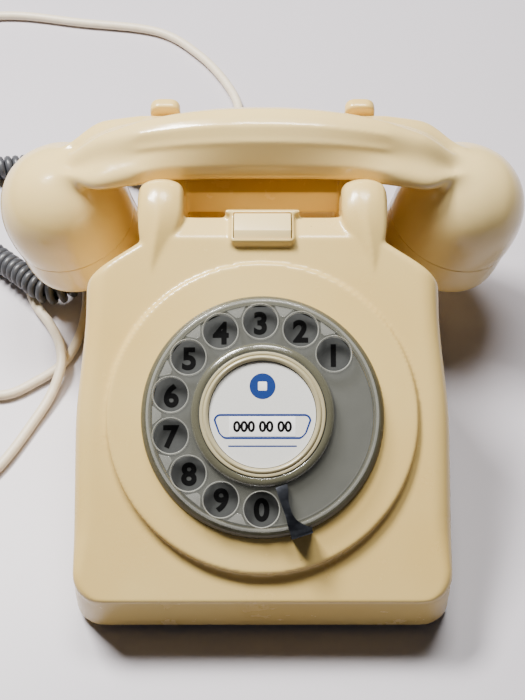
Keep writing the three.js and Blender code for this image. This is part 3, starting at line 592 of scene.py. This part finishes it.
def curly_cord():
    """The coiled wire. It winds up slowly at both ends, where it leaves the boot and the gland."""
    step = 0.6
    axis = spline(CURLY_ROUTE, step)
    length = path_length(axis)
    radius = CURL["radius"] - CURL["wire"]
    per_length = 2 * math.pi / (CURL["wire"] * 2 + 0.15)
    side = Vector((0, 0, 1))
    points, travelled, turned_by = [], 0, 0
    for i, p in enumerate(axis):
        tangent = (axis[min(i + 1, len(axis) - 1)] - axis[max(i - 1, 0)]).normalized()
        side = (side - tangent * side.dot(tangent)).normalized()
        other = tangent.cross(side)
        if i:
            travelled += (p - axis[i - 1]).length
        share = smooth(min(travelled, length - travelled) / CURL["lead"])
        for k in range(2 if i < len(axis) - 2 else 1):
            reach = radius * share * (math.cos(turned_by) * side + math.sin(turned_by) * other)
            points.append(p + tangent * (k * step / 2) + reach)
            turned_by += per_length * share * step / 2
    obj = make("curly_cord_grey", sweep(points, CURL["wire"], 8), angle=60)
    obj.data.transform(FRAME_MATRIX)
    obj.data.materials.append(M["grey_vinyl"])
    obj.data.shade_smooth()
    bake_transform(obj)
    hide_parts("handset_cord")


plug()
line_cord()
curly_cord()


# ---------- case ----------
def case_top(y):
    on_face = CASE["ridge"] + (y - CASE["front"]) * SLOPE
    if y < CASE["lip"]:
        return min(on_face, LIP_Z)
    back = LIP_Z - (LIP_Z - CASE["saddle"]) * smooth((y - CASE["land"]) / 6)
    fall = max(0, y - (CASE["rear"] - 7)) / 7
    return back - 6 * (1 - math.sqrt(1 - fall * fall * 0.98))


def corner_loss(distance, radius):
    if distance >= radius:
        return 0
    return radius - math.sqrt(radius * radius - (radius - distance) ** 2)


def case_ring(y, inset=0.0):
    front_loss = corner_loss(y - CASE["front"], CASE["corner_front"])
    loss = front_loss + corner_loss(CASE["rear"] - y, CASE["corner_rear"])
    share = (y - CASE["front"]) / (CASE["rear"] - CASE["front"])
    low = CASE["half_front"] + (CASE["half_rear"] - CASE["half_front"]) * min(1, share * 1.2) - loss
    shoulder = 81.5 - 4 * smooth((y + 40) / 50) - 24.5 * smooth((y - 17) / 22)
    high = shoulder - front_loss - corner_loss(CASE["rear"] - y, 6)
    narrow = smooth((y - 14) / 34)
    top = case_top(y)
    r = min(9, 2 + (y - CASE["front"]) * 0.25) + 5 * smooth((y - 10) / 30)
    side_z = min(20, top - r)
    rise = top - r - side_z
    half = [(low, CASE["bottom"]), (low - 0.6, side_z)]
    for share, slim_x, slim_z in ((0.3, low - 3, 33), (0.6, high + 5, 37), (0.8, high + 0.4, 44)):
        wide_x, wide_z = low - 0.6 + (high - low) * share, side_z + rise * share
        half.append((wide_x + (slim_x - wide_x) * narrow, wide_z + (slim_z - wide_z) * narrow))
    for k in range(13):
        a = math.pi / 2 * k / 12
        half.append((high - r + r * math.cos(a), top - r + r * math.sin(a)))
    half += [((high - r) * f, top) for f in (0.66, 0.33)]
    ring = half + [(0, top)] + [(-x, z) for x, z in reversed(half)]
    if inset:
        ring = [(x * (1 - inset / 80), -6 if z < 5 else z - inset - 0.4) for x, z in ring]
    lean = smooth((-90 - y) / 17) * CASE["lean"]
    y_in = y * (1 - inset / 107)
    return [(x, y_in + lean * (1 - min(max(z, 0) / CASE["ridge"], 1)), z) for x, z in ring]


def stations(*runs):
    out = []
    for start, end, step in runs:
        count = max(1, round((end - start) / step))
        out += [start + (end - start) * k / count for k in range(count)]
    return out + [runs[-1][1]]


CASE_STATIONS = stations((-107, -105, 0.4), (-105, -93, 1.2), (-93, 2, 6), (2, 50, 1.6), (50, 86, 5),
                         (86, 104, 1.5), (104, 107, 0.4))


def flow(table, at):
    """Smooth values between the rows of a table whose first column is the position."""
    rows = [np.array(r, float) for r in table]
    for i in range(len(rows) - 1):
        if at <= rows[i + 1][0] or i == len(rows) - 2:
            p1, p2 = rows[i], rows[i + 1]
            p0 = rows[i - 1] if i else 2 * p1 - p2
            p3 = rows[i + 2] if i + 2 < len(rows) else 2 * p2 - p1
            t = (at - p1[0]) / (p2[0] - p1[0])
            m1 = (p2 - p0) / (p2[0] - p0[0]) * (p2[0] - p1[0])
            m2 = (p3 - p1) / (p3[0] - p1[0]) * (p2[0] - p1[0])
            t2, t3 = t * t, t * t * t
            return ((2 * t3 - 3 * t2 + 1) * p1 + (t3 - 2 * t2 + t) * m1
                    + (3 * t2 - 2 * t3) * p2 + (t3 - t2) * m2)


# Position, half width, height of the shoulder, height of the ridge.
FRONT_HORN = [
    (18.5, 0.6, 99.2, 99.8), (24, 3.4, 102, 103.8), (30, 6.2, 105, 108), (36, 8.6, 108.2, 111.6),
    (42, 9.8, 110.6, 114.2), (48, 10.2, 111.6, 115.8), (54, 10.2, 111.6, 116.2), (58, 9.8, 110, 115),
    (61, 9, 107, 112), (62.6, 8.2, 103.5, 107.5),
]


def front_horn(x):
    rings = []
    for y in stations((18.5, 62.6, 1.2)):
        _, w, shoulder, peak = flow(FRONT_HORN, y)
        middle = x + math.copysign(HORN_LEAN, x) * (1 - smooth((y - 18) / 26))
        round_top = smooth((y - 32) / 18)
        side = [(w, 93), (w, shoulder - 2), (w * 0.98, shoulder - 0.5)]
        for share, flat, full in ((0.84, 0.16, 0.45), (0.55, 0.45, 0.8), (0.25, 0.75, 0.97), (0.06, 0.95, 1)):
            side.append((w * share, shoulder + (peak - shoulder) * (flat + (full - flat) * round_top)))
        right = [(middle + dx, y, z) for dx, z in side]
        rings.append(right + [(middle - dx, y, z) for dx, z in reversed(side)])
    return loft(rings)


def rear_horn(x):
    post = slab(0, 0, 6.9, 13.9, 0, 5.6, 4.2, 1.1)
    return moved(post, lying(x, 106.4, 103, 90))


def add_outside(case):
    """The plinth, horns and key bezel, and then the hand-hold well with its bar and ears."""
    r, wall = PLINTH_RADIUS, WELL["half"] + 2
    plinth = spin([(0, -14), (r + 0.8, -14), (r, -0.5), (r - 0.6, 0), (0, 0)], 160)
    bezel = slab(0, KEY["y"], KEY["half_x"] + 1.4, KEY["half_y"] + 1.5, 98, 109.2, 1.6, 0.4)
    cut(case, moved(plinth, DIAL_MATRIX), front_horn(-HORN_X), front_horn(HORN_X), rear_horn(-HORN_X),
        rear_horn(HORN_X), bezel, operation="UNION")
    middle, depth = (WELL["front"] + WELL["back"]) / 2, (WELL["back"] - WELL["front"]) / 2
    cut(case, slab(0, middle, WELL["half"], depth, WELL["floor"], 130, 6, 1.2, 8))
    cut(case, block(-wall, wall, BAR["front"], BAR["back"], BAR["low"], BAR["high"]),
        slab(0, KEY["y"] + 8, KEY["half_x"] + 3.9, 1.1, 98, 110.2, 0.9, 0.3), operation="UNION")


def hollow_out(case):
    cavity = make("cavity", loft([case_ring(y, CASE["wall"]) for y in CASE_STATIONS]))
    across = WELL["half"] + CASE["wall"]
    cut(cavity, block(-across, across, WELL["front"] - CASE["wall"], 110, WELL["floor"] - CASE["wall"], 130))
    faces = [tuple(p.vertices) for p in cavity.data.polygons]
    hollow = ([tuple(v.co) for v in cavity.data.vertices], faces)
    bpy.data.objects.remove(cavity)
    cut(case, hollow)
    for side in (-1, 1):
        cut(case, block(*sorted((side * 68, side * 83)), -6, 6, 9, 22), operation="UNION")


def case_holes():
    holes = [moved(spin([(0, -60), (DIAL_HOLE, -60), (DIAL_HOLE, 5), (0, 5)], 96), DIAL_MATRIX),
             slab(0, KEY["y"], KEY["half_x"] + 0.4, KEY["half_y"] + 0.5, 80, 120, 0.8, 0.1)]
    for side in (-1, 1):
        holes.append(shift(spin([(0, 0), (1.9, 0), (1.9, 18), (0, 18)], 32), side * SCREW_X))
        plunger_hole = spin([(0, 80), (4.1, 80), (4.1, 113), (0, 113)], 40)
        holes.append(shift(plunger_hole, side * HORN_X, PLUNGER_Y))
    for x, _, z in (LINE_GLAND, SET_GLAND):
        holes.append(moved(spin([(0, 0), (5.3, 0), (5.3, 20), (0, 20)], 40), lying(x, 95, z)))
    return merge(*holes)


def build_case():
    case = make("case_moulding", loft([case_ring(y) for y in CASE_STATIONS]), angle=50)
    add_outside(case)
    hollow_out(case)
    soften(case, 0.85, 3, 0.4)
    cut(case, case_holes())
    finish_piece(case, M["case"], "telephone", "ivory_case", "case_shell")


build_case()


# ---------- handset ----------
def grip_ring(x):
    t = abs(x) / GRIP_END
    drop = 24 * t ** 2.2 + 7 * smooth((abs(x) - 72) / 24)
    wide = SET["half"] + 4 * smooth((abs(x) - 40) / 34) - 13 * smooth((abs(x) - 74) / 22)
    top, crease = SET["top"] - drop, SET["crease"] - drop
    low = SET["low"] - 12 * t ** 3
    facet = SET["facet"] - 6 * t * t
    half = [(wide * 0.7, low), (wide * 0.93, low + 1.4), (wide, low + 5), (wide * 0.9, low + 10),
            (facet + 1.6, crease - 3), (facet + 0.6, crease - 0.9), (facet - 0.8, crease),
            (facet * 0.5, top - 0.5)]
    y = SET["y"]
    return ([(x, y - d, z) for d, z in half] + [(x, y, top)] + [(x, y + d, z) for d, z in reversed(half)]
            + [(x, y, low - 0.3)])


def curved(profile, per_gap=5):
    """The same profile with a smooth curve through its points."""
    points = [Vector((r, h, 0)) for r, h in profile]
    points = [points[0] * 2 - points[1]] + points + [points[-1] * 2 - points[-2]]
    out = []
    for i in range(1, len(points) - 2):
        for k in range(per_gap):
            t = k / per_gap
            p0, p1, p2, p3 = points[i - 1:i + 3]
            out.append(0.5 * (2 * p1 + (p2 - p0) * t + (2 * p0 - 5 * p1 + 4 * p2 - p3) * t * t
                              + (3 * p1 - p0 - 3 * p2 + p3) * t ** 3))
    return [(max(p.x, 0), p.y) for p in out] + [profile[-1]]


def bulb():
    r = CAP_RADIUS
    sides = curved([(r, -12), (r, -3), (r + 0.4, 3.6), (r + 0.5, 7.2), (r, 15.3), (r * 0.93, 23.5),
                    (r * 0.78, 31.1), (r * 0.55, 37), (r * 0.28, 40.4), (0, 41.5)])
    return spin([(0, -12)] + sides, 128)


def handset_end(side):
    r = CAP_RADIUS
    hollow = spin([(0, -3), (r - 3, -3), (r - 3, 20), (r - 8, 28), (0, 30)], 96)
    return moved(hollow, end_matrix(side))


def blend_joints(body):
    """Smooths the skin where the grip runs into the two ends, and nowhere else."""
    joint = body.vertex_groups.new(name="joint")
    for vertex in body.data.vertices:
        x, _, z = vertex.co
        weight = smooth((abs(x) - 54) / 16) * (1 - smooth((abs(x) - 106) / 8)) * smooth((z - 60) / 12)
        if weight > 0:
            joint.add([vertex.index], weight, "REPLACE")
    modifier = body.modifiers.new("blend", "SMOOTH")
    modifier.factor = 0.5
    modifier.iterations = 220
    modifier.vertex_group = "joint"
    bake(body)
    body.vertex_groups.clear()
    modifier = body.modifiers.new("thin", "DECIMATE")
    modifier.ratio = 0.5
    bake(body)


def build_handset():
    grip = loft([grip_ring(x) for x in stations((-GRIP_END, GRIP_END, 2.5))])
    body = make("handset_moulding", grip, angle=50)
    cut(body, moved(bulb(), end_matrix(-1)), moved(bulb(), end_matrix(1)), operation="UNION")
    soften(body, 0.8, 8)
    blend_joints(body)
    for side in (-1, 1):
        cut(body, moved(block(-60, 60, -60, 60, -60, 0), end_matrix(side)), handset_end(side))
    cut(body, moved(spin([(0, -12), (3.1, -12), (3.1, 12), (0, 12)], 40), aim(BOOT_AT, BOOT_WAY)))
    finish_piece(body, M["handset"], "handset", "ivory_handset", "handset_body")
    build_cap("mouth_cap_ivory", "mouth_cap", -1, [(0, 1), (6, 6), (12, 9)])
    build_cap("ear_cap_ivory", "ear_cap", 1, [(0, 1), (7, 6)])
    for name, node, side, radius, height, finish, slot in (
            ("transmitter_capsule", "transmitter", -1, 22, 4, "black", "black_plastic"),
            ("receiver_capsule", "receiver", 1, 23, 8, "can", "aluminium")):
        can = [(0, -14), (radius - 2, -14), (radius, -12), (radius, height - 3), (radius - 6, height),
               (0, height)]
        turned(name, can, end_matrix(side), M[finish], "handset", slot, node, segments=96, edge=0.5)
    boot = ribbed([(0, -5), (2.7, -5), (2.7, 2.4), (4.6, 2.8)], 5, 24, 4.3, 2.65, 6)
    turned("handset_cord_boot", boot, aim(BOOT_AT, BOOT_WAY), M["grey_vinyl"], "handset", "grey_vinyl",
           "handset_boot", segments=48)


def ribbed(start, low, high, wide, slim, ribs):
    """A tapered strain relief with raised rings."""
    profile = list(start)
    pitch = (high - low) / ribs
    for k in range(ribs):
        r0 = wide + (slim - wide) * k / ribs
        z = low + pitch * k
        groove = r0 - 0.75
        profile += [(r0, z), (r0, z + pitch * 0.55), (groove, z + pitch * 0.68), (groove, z + pitch * 0.92)]
    return profile + [(slim, high), (0, high)]


def build_cap(name, node, side, circles):
    r = CAP_RADIUS
    corner = curved([(r - 4.6, -21.2), (r - 2.8, -20.5), (r - 0.7, -17.6), (r, -12), (r, -6)])
    outside = [(0, -21.5), (r - 6.5, -21.5)] + corner + [(r, -GAP - 0.5), (r - 0.4, -GAP), (0, -GAP)]
    cap = make(name, spin(outside, 128))
    cut(cap, spin([(0, -18.4), (21, -18.4), (r - 3.6, -15.4), (r - 2.8, 2), (0, 2)], 96))
    holes = []
    for radius, count in circles:
        for i in range(count):
            a = 2 * math.pi * i / count
            hole = spin([(0, -24), (1.3, -24), (1.3, -17), (0, -17)], 24)
            holes.append(shift(hole, radius * math.cos(a), radius * math.sin(a)))
    cut(cap, merge(*holes))
    cap.data.transform(end_matrix(side))
    finish_piece(cap, M["handset"], "handset", "ivory_handset", node)


build_handset()


# ---------- dial ----------
def dial_point(radius, degrees, height):
    a = math.radians(degrees)
    return radius * math.cos(a), radius * math.sin(a), height


def hole_angle(i):
    return FIRST_HOLE + i * HOLE_STEP


def text_shape(body, size, thickness, heavy=0.0):
    """Flat characters centred on the origin, as a shape in millimetres."""
    curve = bpy.data.curves.new("text", "FONT")
    curve.body = body
    curve.size = size
    curve.offset = heavy
    curve.extrude = thickness / 2
    curve.resolution_u = 6
    obj = bpy.data.objects.new("text", curve)
    bpy.context.collection.objects.link(obj)
    mesh = bpy.data.meshes.new_from_object(obj.evaluated_get(bpy.context.evaluated_depsgraph_get()))
    verts = [v.co.copy() for v in mesh.vertices]
    middle = [(min(v[i] for v in verts) + max(v[i] for v in verts)) / 2 for i in (0, 1)]
    faces = [tuple(p.vertices) for p in mesh.polygons]
    shape = ([(v.x - middle[0], v.y - middle[1], v.z) for v in verts], faces)
    bpy.data.objects.remove(obj)
    bpy.data.meshes.remove(mesh)
    return shape


def hole_lip():
    """The raised round edge of one finger hole."""
    inner, outer, low, high = WHEEL["hole"], WHEEL["lip"], WHEEL["low"], WHEEL["high"]
    lip = [(inner, low), (outer - 0.2, low), (outer - 0.2, high + 0.1), (outer - 0.45, high + 0.4),
           (inner + 0.35, high + 0.4), (inner + 0.1, high + 0.15), (inner, high - 0.5), (inner, low)]
    return spin(lip, 56)


def web_patch(degrees):
    """A wedge of plastic outside the gap between two finger holes; its paler plastic is a painted highlight.
    """
    corners = [dial_point(radius, degrees + turn, 0)
               for radius, turn in ((46.9, -5), (46.9, 5), (42.8, 1.2), (42.8, -1.2))]
    high = WHEEL["high"]
    return loft([[(x, y, z) for x, y, _ in corners] for z in (high - 0.55, high + 0.05)])


def finger_wheel():
    r, low, high, hub = WHEEL["radius"], WHEEL["low"], WHEEL["high"], WHEEL["hub"]
    disc = [(23.4, low), (r - 1.6, low), (r - 1.6, low - 1.2), (r, low - 1.2), (r, high - 0.5),
            (r - 0.5, high), (r - 2.6, high), (r - 3, high - 0.5), (hub + 0.4, high - 0.5),
            (hub - 0.6, high + 1.4), (27, high + 1.8), (27, high - 0.4), (23.4, high - 0.4), (23.4, low)]
    wheel = make("finger_wheel_clear", spin(disc, 192), angle=40)
    bore_radius = WHEEL["lip"] - 0.15
    bore = spin([(0, low - 2), (bore_radius, low - 2), (bore_radius, high + 0.6), (0, high + 0.6)], 56)
    centres = [dial_point(WHEEL["pitch"], hole_angle(i), 0) for i in range(10)]
    cut(wheel, merge(*(shift(bore, x, y) for x, y, _ in centres)))
    wheel.data.transform(DIAL_MATRIX)
    finish_piece(wheel, M["clear"], "dial_wheel", "clear_acrylic", "finger_wheel")
    # The lips are real raised edges; their paler plastic is a painted highlight.
    lips = make("finger_hole_lips", merge(*(shift(hole_lip(), x, y) for x, y, _ in centres)), DIAL_MATRIX, 40)
    finish_piece(lips, M["lip"], "dial_wheel", "clear_acrylic")
    # A thin edge ring in the paler plastic, which paints a highlight along the wheel's rim.
    edge = spin([(48.2, high), (48.4, high + 0.35), (49.1, high + 0.35), (49.4, high), (48.2, high)], 192)
    finish_piece(make("finger_wheel_edge", edge, DIAL_MATRIX, 60), M["web"], "dial_wheel", "clear_acrylic")
    band = spin([(27.1, high + 1.82), (27.4, high + 2.1), (29.4, high + 1.8), (30.3, high + 0.9),
                 (30.2, high + 0.6), (29.3, high + 1.45), (27.1, high + 1.82)], 160)
    finish_piece(make("finger_wheel_band", band, DIAL_MATRIX, 60), M["band"], "dial_wheel", "clear_acrylic")
    # Raised webs whose paler plastic is a painted highlight where they catch light.
    webs = make("finger_wheel_webs", merge(*(web_patch(hole_angle(i) + HOLE_STEP / 2) for i in range(9))))
    rounded_edges(webs, 0.15)
    webs.data.transform(DIAL_MATRIX)
    finish_piece(webs, M["web"], "dial_wheel", "clear_acrylic")


def finger_stop():
    left = spline([(5.5, -30.9, 0), (7.2, -36.3, 0), (9.6, -42.7, 0), (11, -48.3, 0), (12.4, -51, 0)], 1.2)
    right = spline([(10.3, -29.2, 0), (10.8, -32, 0), (11, -36.9, 0), (12.5, -41.6, 0), (14.2, -44.2, 0),
                    (17.2, -46, 0), (20.8, -47.6, 0)], 1.2)
    outline = [(p.x, p.y) for p in left] + [(20.6, -48.4)] + [(p.x, p.y) for p in reversed(right)]
    blade = loft([[(x, y, z) for x, y in outline] for z in (8.9, 10.1)])
    hook = [moved(block(-4.6, 4.6, -53.7, y, z0, 10.1), Matrix.Rotation(STOP_ANGLE, 4, "Z"))
            for y, z0 in ((-52.5, 0.4), (-51, 8.9))]
    piece = make("finger_stop_blue_steel", blade, angle=40)
    cut(piece, *hook, operation="UNION")
    rounded_edges(piece, 0.3, 2)
    piece.data.transform(DIAL_MATRIX)
    finish_piece(piece, M["stop"], "telephone", "blue_steel", "finger_stop")


def build_dial():
    d = DIAL_MATRIX
    turned("dial_number_plate", [(9, 0.6), (47, 0.6), (47.4, 1), (47.4, 2.2), (47, 2.6), (9, 2.6), (9, 0.6)],
           d, M["plate"], "telephone", "plate_grey", "number_plate", segments=160)
    rim = [(47.8, 0.4), (52.2, 0.4), (51.6, 1.6), (50.6, 2.4), (50.6, 3.4), (47.8, 3.4), (47.8, 0.4)]
    turned("dial_rim_olive", rim, d, M["rim"], "telephone", "rim_olive", "dial_rim", segments=160, edge=0.25)
    digits = []
    for i, digit in enumerate("1234567890"):
        x, y, _ = dial_point(WHEEL["pitch"], hole_angle(i), 0)
        digits.append(shift(text_shape(digit, 12.9, 0.12, 0.48), x, y, 2.66))
    piece = make("dial_digits", merge(*digits), d)
    finish_piece(piece, M["ink"], "telephone", "plate_grey")
    finger_wheel()
    finger_stop()
    turned("hub_ring_ivory", [(22.9, 8), (26.7, 8), (26.7, 9.5), (26.4, 9.8), (25.5, 9.8), (25.1, 9.4),
                              (24.8, 10.1), (24.2, 10.4), (23.5, 10.1), (22.9, 9.4), (22.9, 8)],
           d, M["hub"], "dial_wheel", "hub_ivory", "hub_ring", edge=0.12)
    turned("hub_boss_olive", [(2.8, 3), (8, 3), (8, 5), (23.1, 5), (23.1, 7.7), (2.8, 7.7), (2.8, 3)],
           d, M["rim"], "dial_wheel", "hub_ivory", "hub_boss", edge=0.25)
    turned("dial_spindle_steel", [(0, -20), (2.4, -20), (2.4, 7.4), (0, 7.4)], d, M["steel"], "dial_wheel",
           "steel", "dial_spindle", segments=64, edge=0.3)
    drum = [(2.7, -14.6), (12, -14.6), (12, -8.8), (2.7, -8.8), (2.7, -14.6)]
    turned("dial_spring_drum", drum, d, M["steel"], "dial_wheel", "steel", "spring_drum", edge=0.3)
    cup = [(0, -18.2), (10.4, -18.2), (11, -17.4), (11, -8.6), (9.6, -8.6), (9.6, -17.2), (0, -17.2)]
    turned("dial_governor_cup", cup, d @ Matrix.Translation((-24, -13, 0)), M["steel"], "telephone", "steel",
           "governor_cup", edge=0.2)


def card_line(half_x, half_y, radius, line, z0, z1):
    """A rounded frame line whose lower corners are cut in, as on a printed dial card."""
    def ring(inset):
        points = rounded_outline(half_x - inset, half_y - inset, radius - inset, 8)
        return [(x * (1 - 0.14 * smooth((0.3 * half_y - y) / (1.3 * half_y))), y) for x, y in points]
    rows = [(ring(0), z0), (ring(0), z1), (ring(line), z1), (ring(line), z0)]
    n = len(rows[0][0])
    verts = [(x, y, z) for points, z in rows for x, y in points]
    faces = [(r * n + k, r * n + (k + 1) % n, ((r + 1) % 4) * n + (k + 1) % n, ((r + 1) % 4) * n + k)
             for r in range(4) for k in range(n)]
    return verts, faces


def build_label():
    d = DIAL_MATRIX
    turned("label_paper", [(0, 8), (22.6, 8), (22.6, 8.5), (0, 8.5)], d, M["paper"], "dial_wheel", "paper",
           "label_card", segments=128)
    top = 8.56
    frame_line = shift(card_line(20.6, 5.3, 2.8, 0.85, 8.5, top), 0, -5.1)
    rule = slab(0, -13.4, 14.5, 0.3, 8.5, top, 0.2, 0.02, 2)
    disc = spin([(0, 8.5), (5.5, 8.5), (5.5, top), (0, top)], 64)
    piece = make("label_print_blue", merge(frame_line, rule, shift(disc, 0, 12)), d)
    finish_piece(piece, M["blue"], "dial_wheel", "paper")
    strip = make("label_number_strip", slab(0, -5.1, 14, 4.2, 8.5, top + 0.06, 0.3, 0.02, 3), d)
    finish_piece(strip, M["white"], "dial_wheel", "paper")
    number = make("label_number", shift(text_shape("000 00 00", 6.1, 0.06, 0.24), 0, -5.1, top + 0.1), d)
    finish_piece(number, M["ink"], "dial_wheel", "paper")
    square = make("label_mark", slab(0, 12, 1.9, 1.9, top, top + 0.05, 0.5, 0.02, 3), d)
    finish_piece(square, M["white"], "dial_wheel", "paper")


build_dial()
build_label()


# ---------- recall key ----------
def build_key():
    half_x, half_y, top = KEY["half_x"], KEY["half_y"], KEY["top"]
    profile = [(-half_y, 100), (half_y, 100), (half_y, top - 0.8), (half_y - 0.9, top), (-3.4, top),
               (-half_y, top - 2.4)]
    sections = [[(x, KEY["y"] + y, z) for y, z in profile] for x in (-half_x, half_x)]
    key = make("recall_key_ivory", loft(sections))
    cut(key, block(-3, 3, 34, 39, 88, 101), operation="UNION")
    rounded_edges(key, 0.45, 3)
    finish_piece(key, M["key"], "recall", "key_ivory", "recall_key")


build_key()


# ---------- small turned and moulded pieces ----------
def build_feet():
    profile = [(0, 0), (5.2, 0), (5.4, 0.5), (6.8, 0.5), (8, 1.5), (8, 3.7), (0, 3.7)]
    for row, y in (("front", -FOOT_Y), ("rear", FOOT_Y)):
        for column, x in (("left", -FOOT_X), ("right", FOOT_X)):
            turned(f"rubber_foot_{row}_{column}", profile, Matrix.Translation((x, y, 0)), M["rubber"],
                   "telephone", "rubber_black", f"foot_{row}_{column}", segments=64, edge=0.3)


def case_screw(side, name):
    profile = [(0, 1.6), (2.6, 1.6), (3.4, 2.3), (3.4, 3.7), (1.5, 3.7), (1.5, 16), (0, 17)]
    screw = make(f"case_fixing_{name}", spin(profile, 64))
    cut(screw, block(-3.6, 3.6, -0.5, 0.5, 1, 2.5))
    screw.data.transform(Matrix.Translation((side * SCREW_X, 0, 0)))
    finish_piece(screw, M["steel"], "telephone", "steel", f"case_screw_{name}")


def plunger(side, name):
    tip = curved([(3.4, 100.4), (3, 101.9), (2, 102.5), (0, 102.7)])
    pin = [(0, 58.9), (3.4, 58.9), (3.4, 100)] + tip
    turned(f"plunger_pin_{name}", pin, Matrix.Translation((side * HORN_X, PLUNGER_Y, 0)), M["key"],
           f"{name}_plunger", "ivory_soft", f"plunger_{name}", segments=64)


def bell(side, name):
    at = Matrix.Translation((side * GONG_X, GONG_Y, 0))
    gong = [(2.6, 22.8), (17, 22.8), (22.6, 19.6), (23.8, 15), (25, 15), (23.8, 20.4), (17.4, 24), (2.6, 24),
            (2.6, 22.8)]
    turned(f"bell_gong_{name}", gong, at, M["brass"], "telephone", "brass", f"gong_{name}", edge=0.25)
    stud = [(0, 8.8), (2.2, 8.8), (2.2, 24.3), (4, 24.3), (4, 26), (3.2, 26.8), (0, 26.8)]
    turned(f"bell_screw_{name}", stud, at, M["steel"], "telephone", "steel", f"gong_screw_{name}",
           segments=64, edge=0.2)


def bell_winding(side, name):
    reel = [(0, -1.6), (2.4, -1.6), (2.4, 0), (8, 0), (8, 1.4)]
    for k in range(12):
        h = 1.5 * k
        reel += [(6.75, 1.7 + h), (7, 2.1 + h), (7, 2.6 + h), (6.75, 3.0 + h)]
    reel += [(8, 20), (8, 21.4), (2.4, 21.4), (2.4, 22), (0, 22)]
    turned(f"bell_winding_{name}", reel, lying(side * 12, 67.6, 21), M["tape"], "telephone", "coil_tape",
           f"ringer_coil_{name}")


def gland(at, name, node, material, slot):
    collar = [(0, -6), (5, -6), (5, 0.4), (6.7, 0.6), (7, 0.9), (7, 2), (5.4, 2.6)]
    profile = ribbed(collar, 3.2, 24, 5, 3.2, 6)
    turned(name, profile, lying(*at), material, "telephone", slot, node, segments=64)


build_feet()
for side, name in ((-1, "left"), (1, "right")):
    for build in (case_screw, plunger, bell, bell_winding):
        build(side, name)
gland(LINE_GLAND, "line_cord_gland", "line_gland", M["vinyl"], "ivory_soft")
gland(SET_GLAND, "curly_cord_gland", "set_gland", M["grey_vinyl"], "grey_vinyl")

CAD_FINISHES = dict(
    base_plate="base", dial_plate="steel", main_gear="brass", impulse_wheel="brass", governor_rotor="brass",
    pulse_contacts="phenolic", recall_switch="black", hook_frame="steel", hook_lever="steel",
    hook_contacts="phenolic", ringer_frame="steel", circuit_board="board", induction_coil="tape",
    capacitor="can", terminal_block="black", hammer="steel",
)
for node, finish in CAD_FINISHES.items():
    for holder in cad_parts[node].material_slots:
        holder.material = M[finish]


# ---------- floor and light ----------
def build_stage():
    size = 30000
    floor = make("floor", block(-size, size, -size, size, -20, 0), angle=30)
    floor.data.transform(FRAME_MATRIX)
    material, nodes, links, shader, place = new_material("floor_paper")
    wide = noise(nodes, links, place, 3, 3)
    tint = ramp(nodes, links, wide.outputs["Fac"],
                [(0.3, linear((0.755, 0.735, 0.76))), (0.7, linear((0.775, 0.755, 0.78)))])
    links.new(tint.outputs["Color"], shader.inputs["Base Color"])
    shader.inputs["Roughness"].default_value = 0.4
    floor.data.materials.append(material)


def area_light(name, at, target, size, power, color=(1, 1, 1)):
    data = bpy.data.lights.new(name, "AREA")
    data.shape = "RECTANGLE"
    data.size, data.size_y = size
    data.energy = power
    data.color = color
    light = bpy.data.objects.new(name, data)
    bpy.context.collection.objects.link(light)
    light.location = at
    light.rotation_euler = (Vector(target) - Vector(at)).to_track_quat("-Z", "Y").to_euler()


def build_light():
    world = bpy.data.worlds.new("world")
    bpy.context.scene.world = world
    world.use_nodes = True
    world.node_tree.nodes["Background"].inputs["Color"].default_value = (0.93, 0.93, 1, 1)
    world.node_tree.nodes["Background"].inputs["Strength"].default_value = 0.05
    area_light("key", (-0.42, 0.4, 0.98), (0, 0.02, 0.05), (0.34, 0.26), 31, (1, 0.985, 0.96))
    area_light("above", (0.1, 0.5, 1.4), (0, 0, 0.05), (0.5, 0.35), 18, (1, 0.985, 0.97))


build_stage()
build_light()
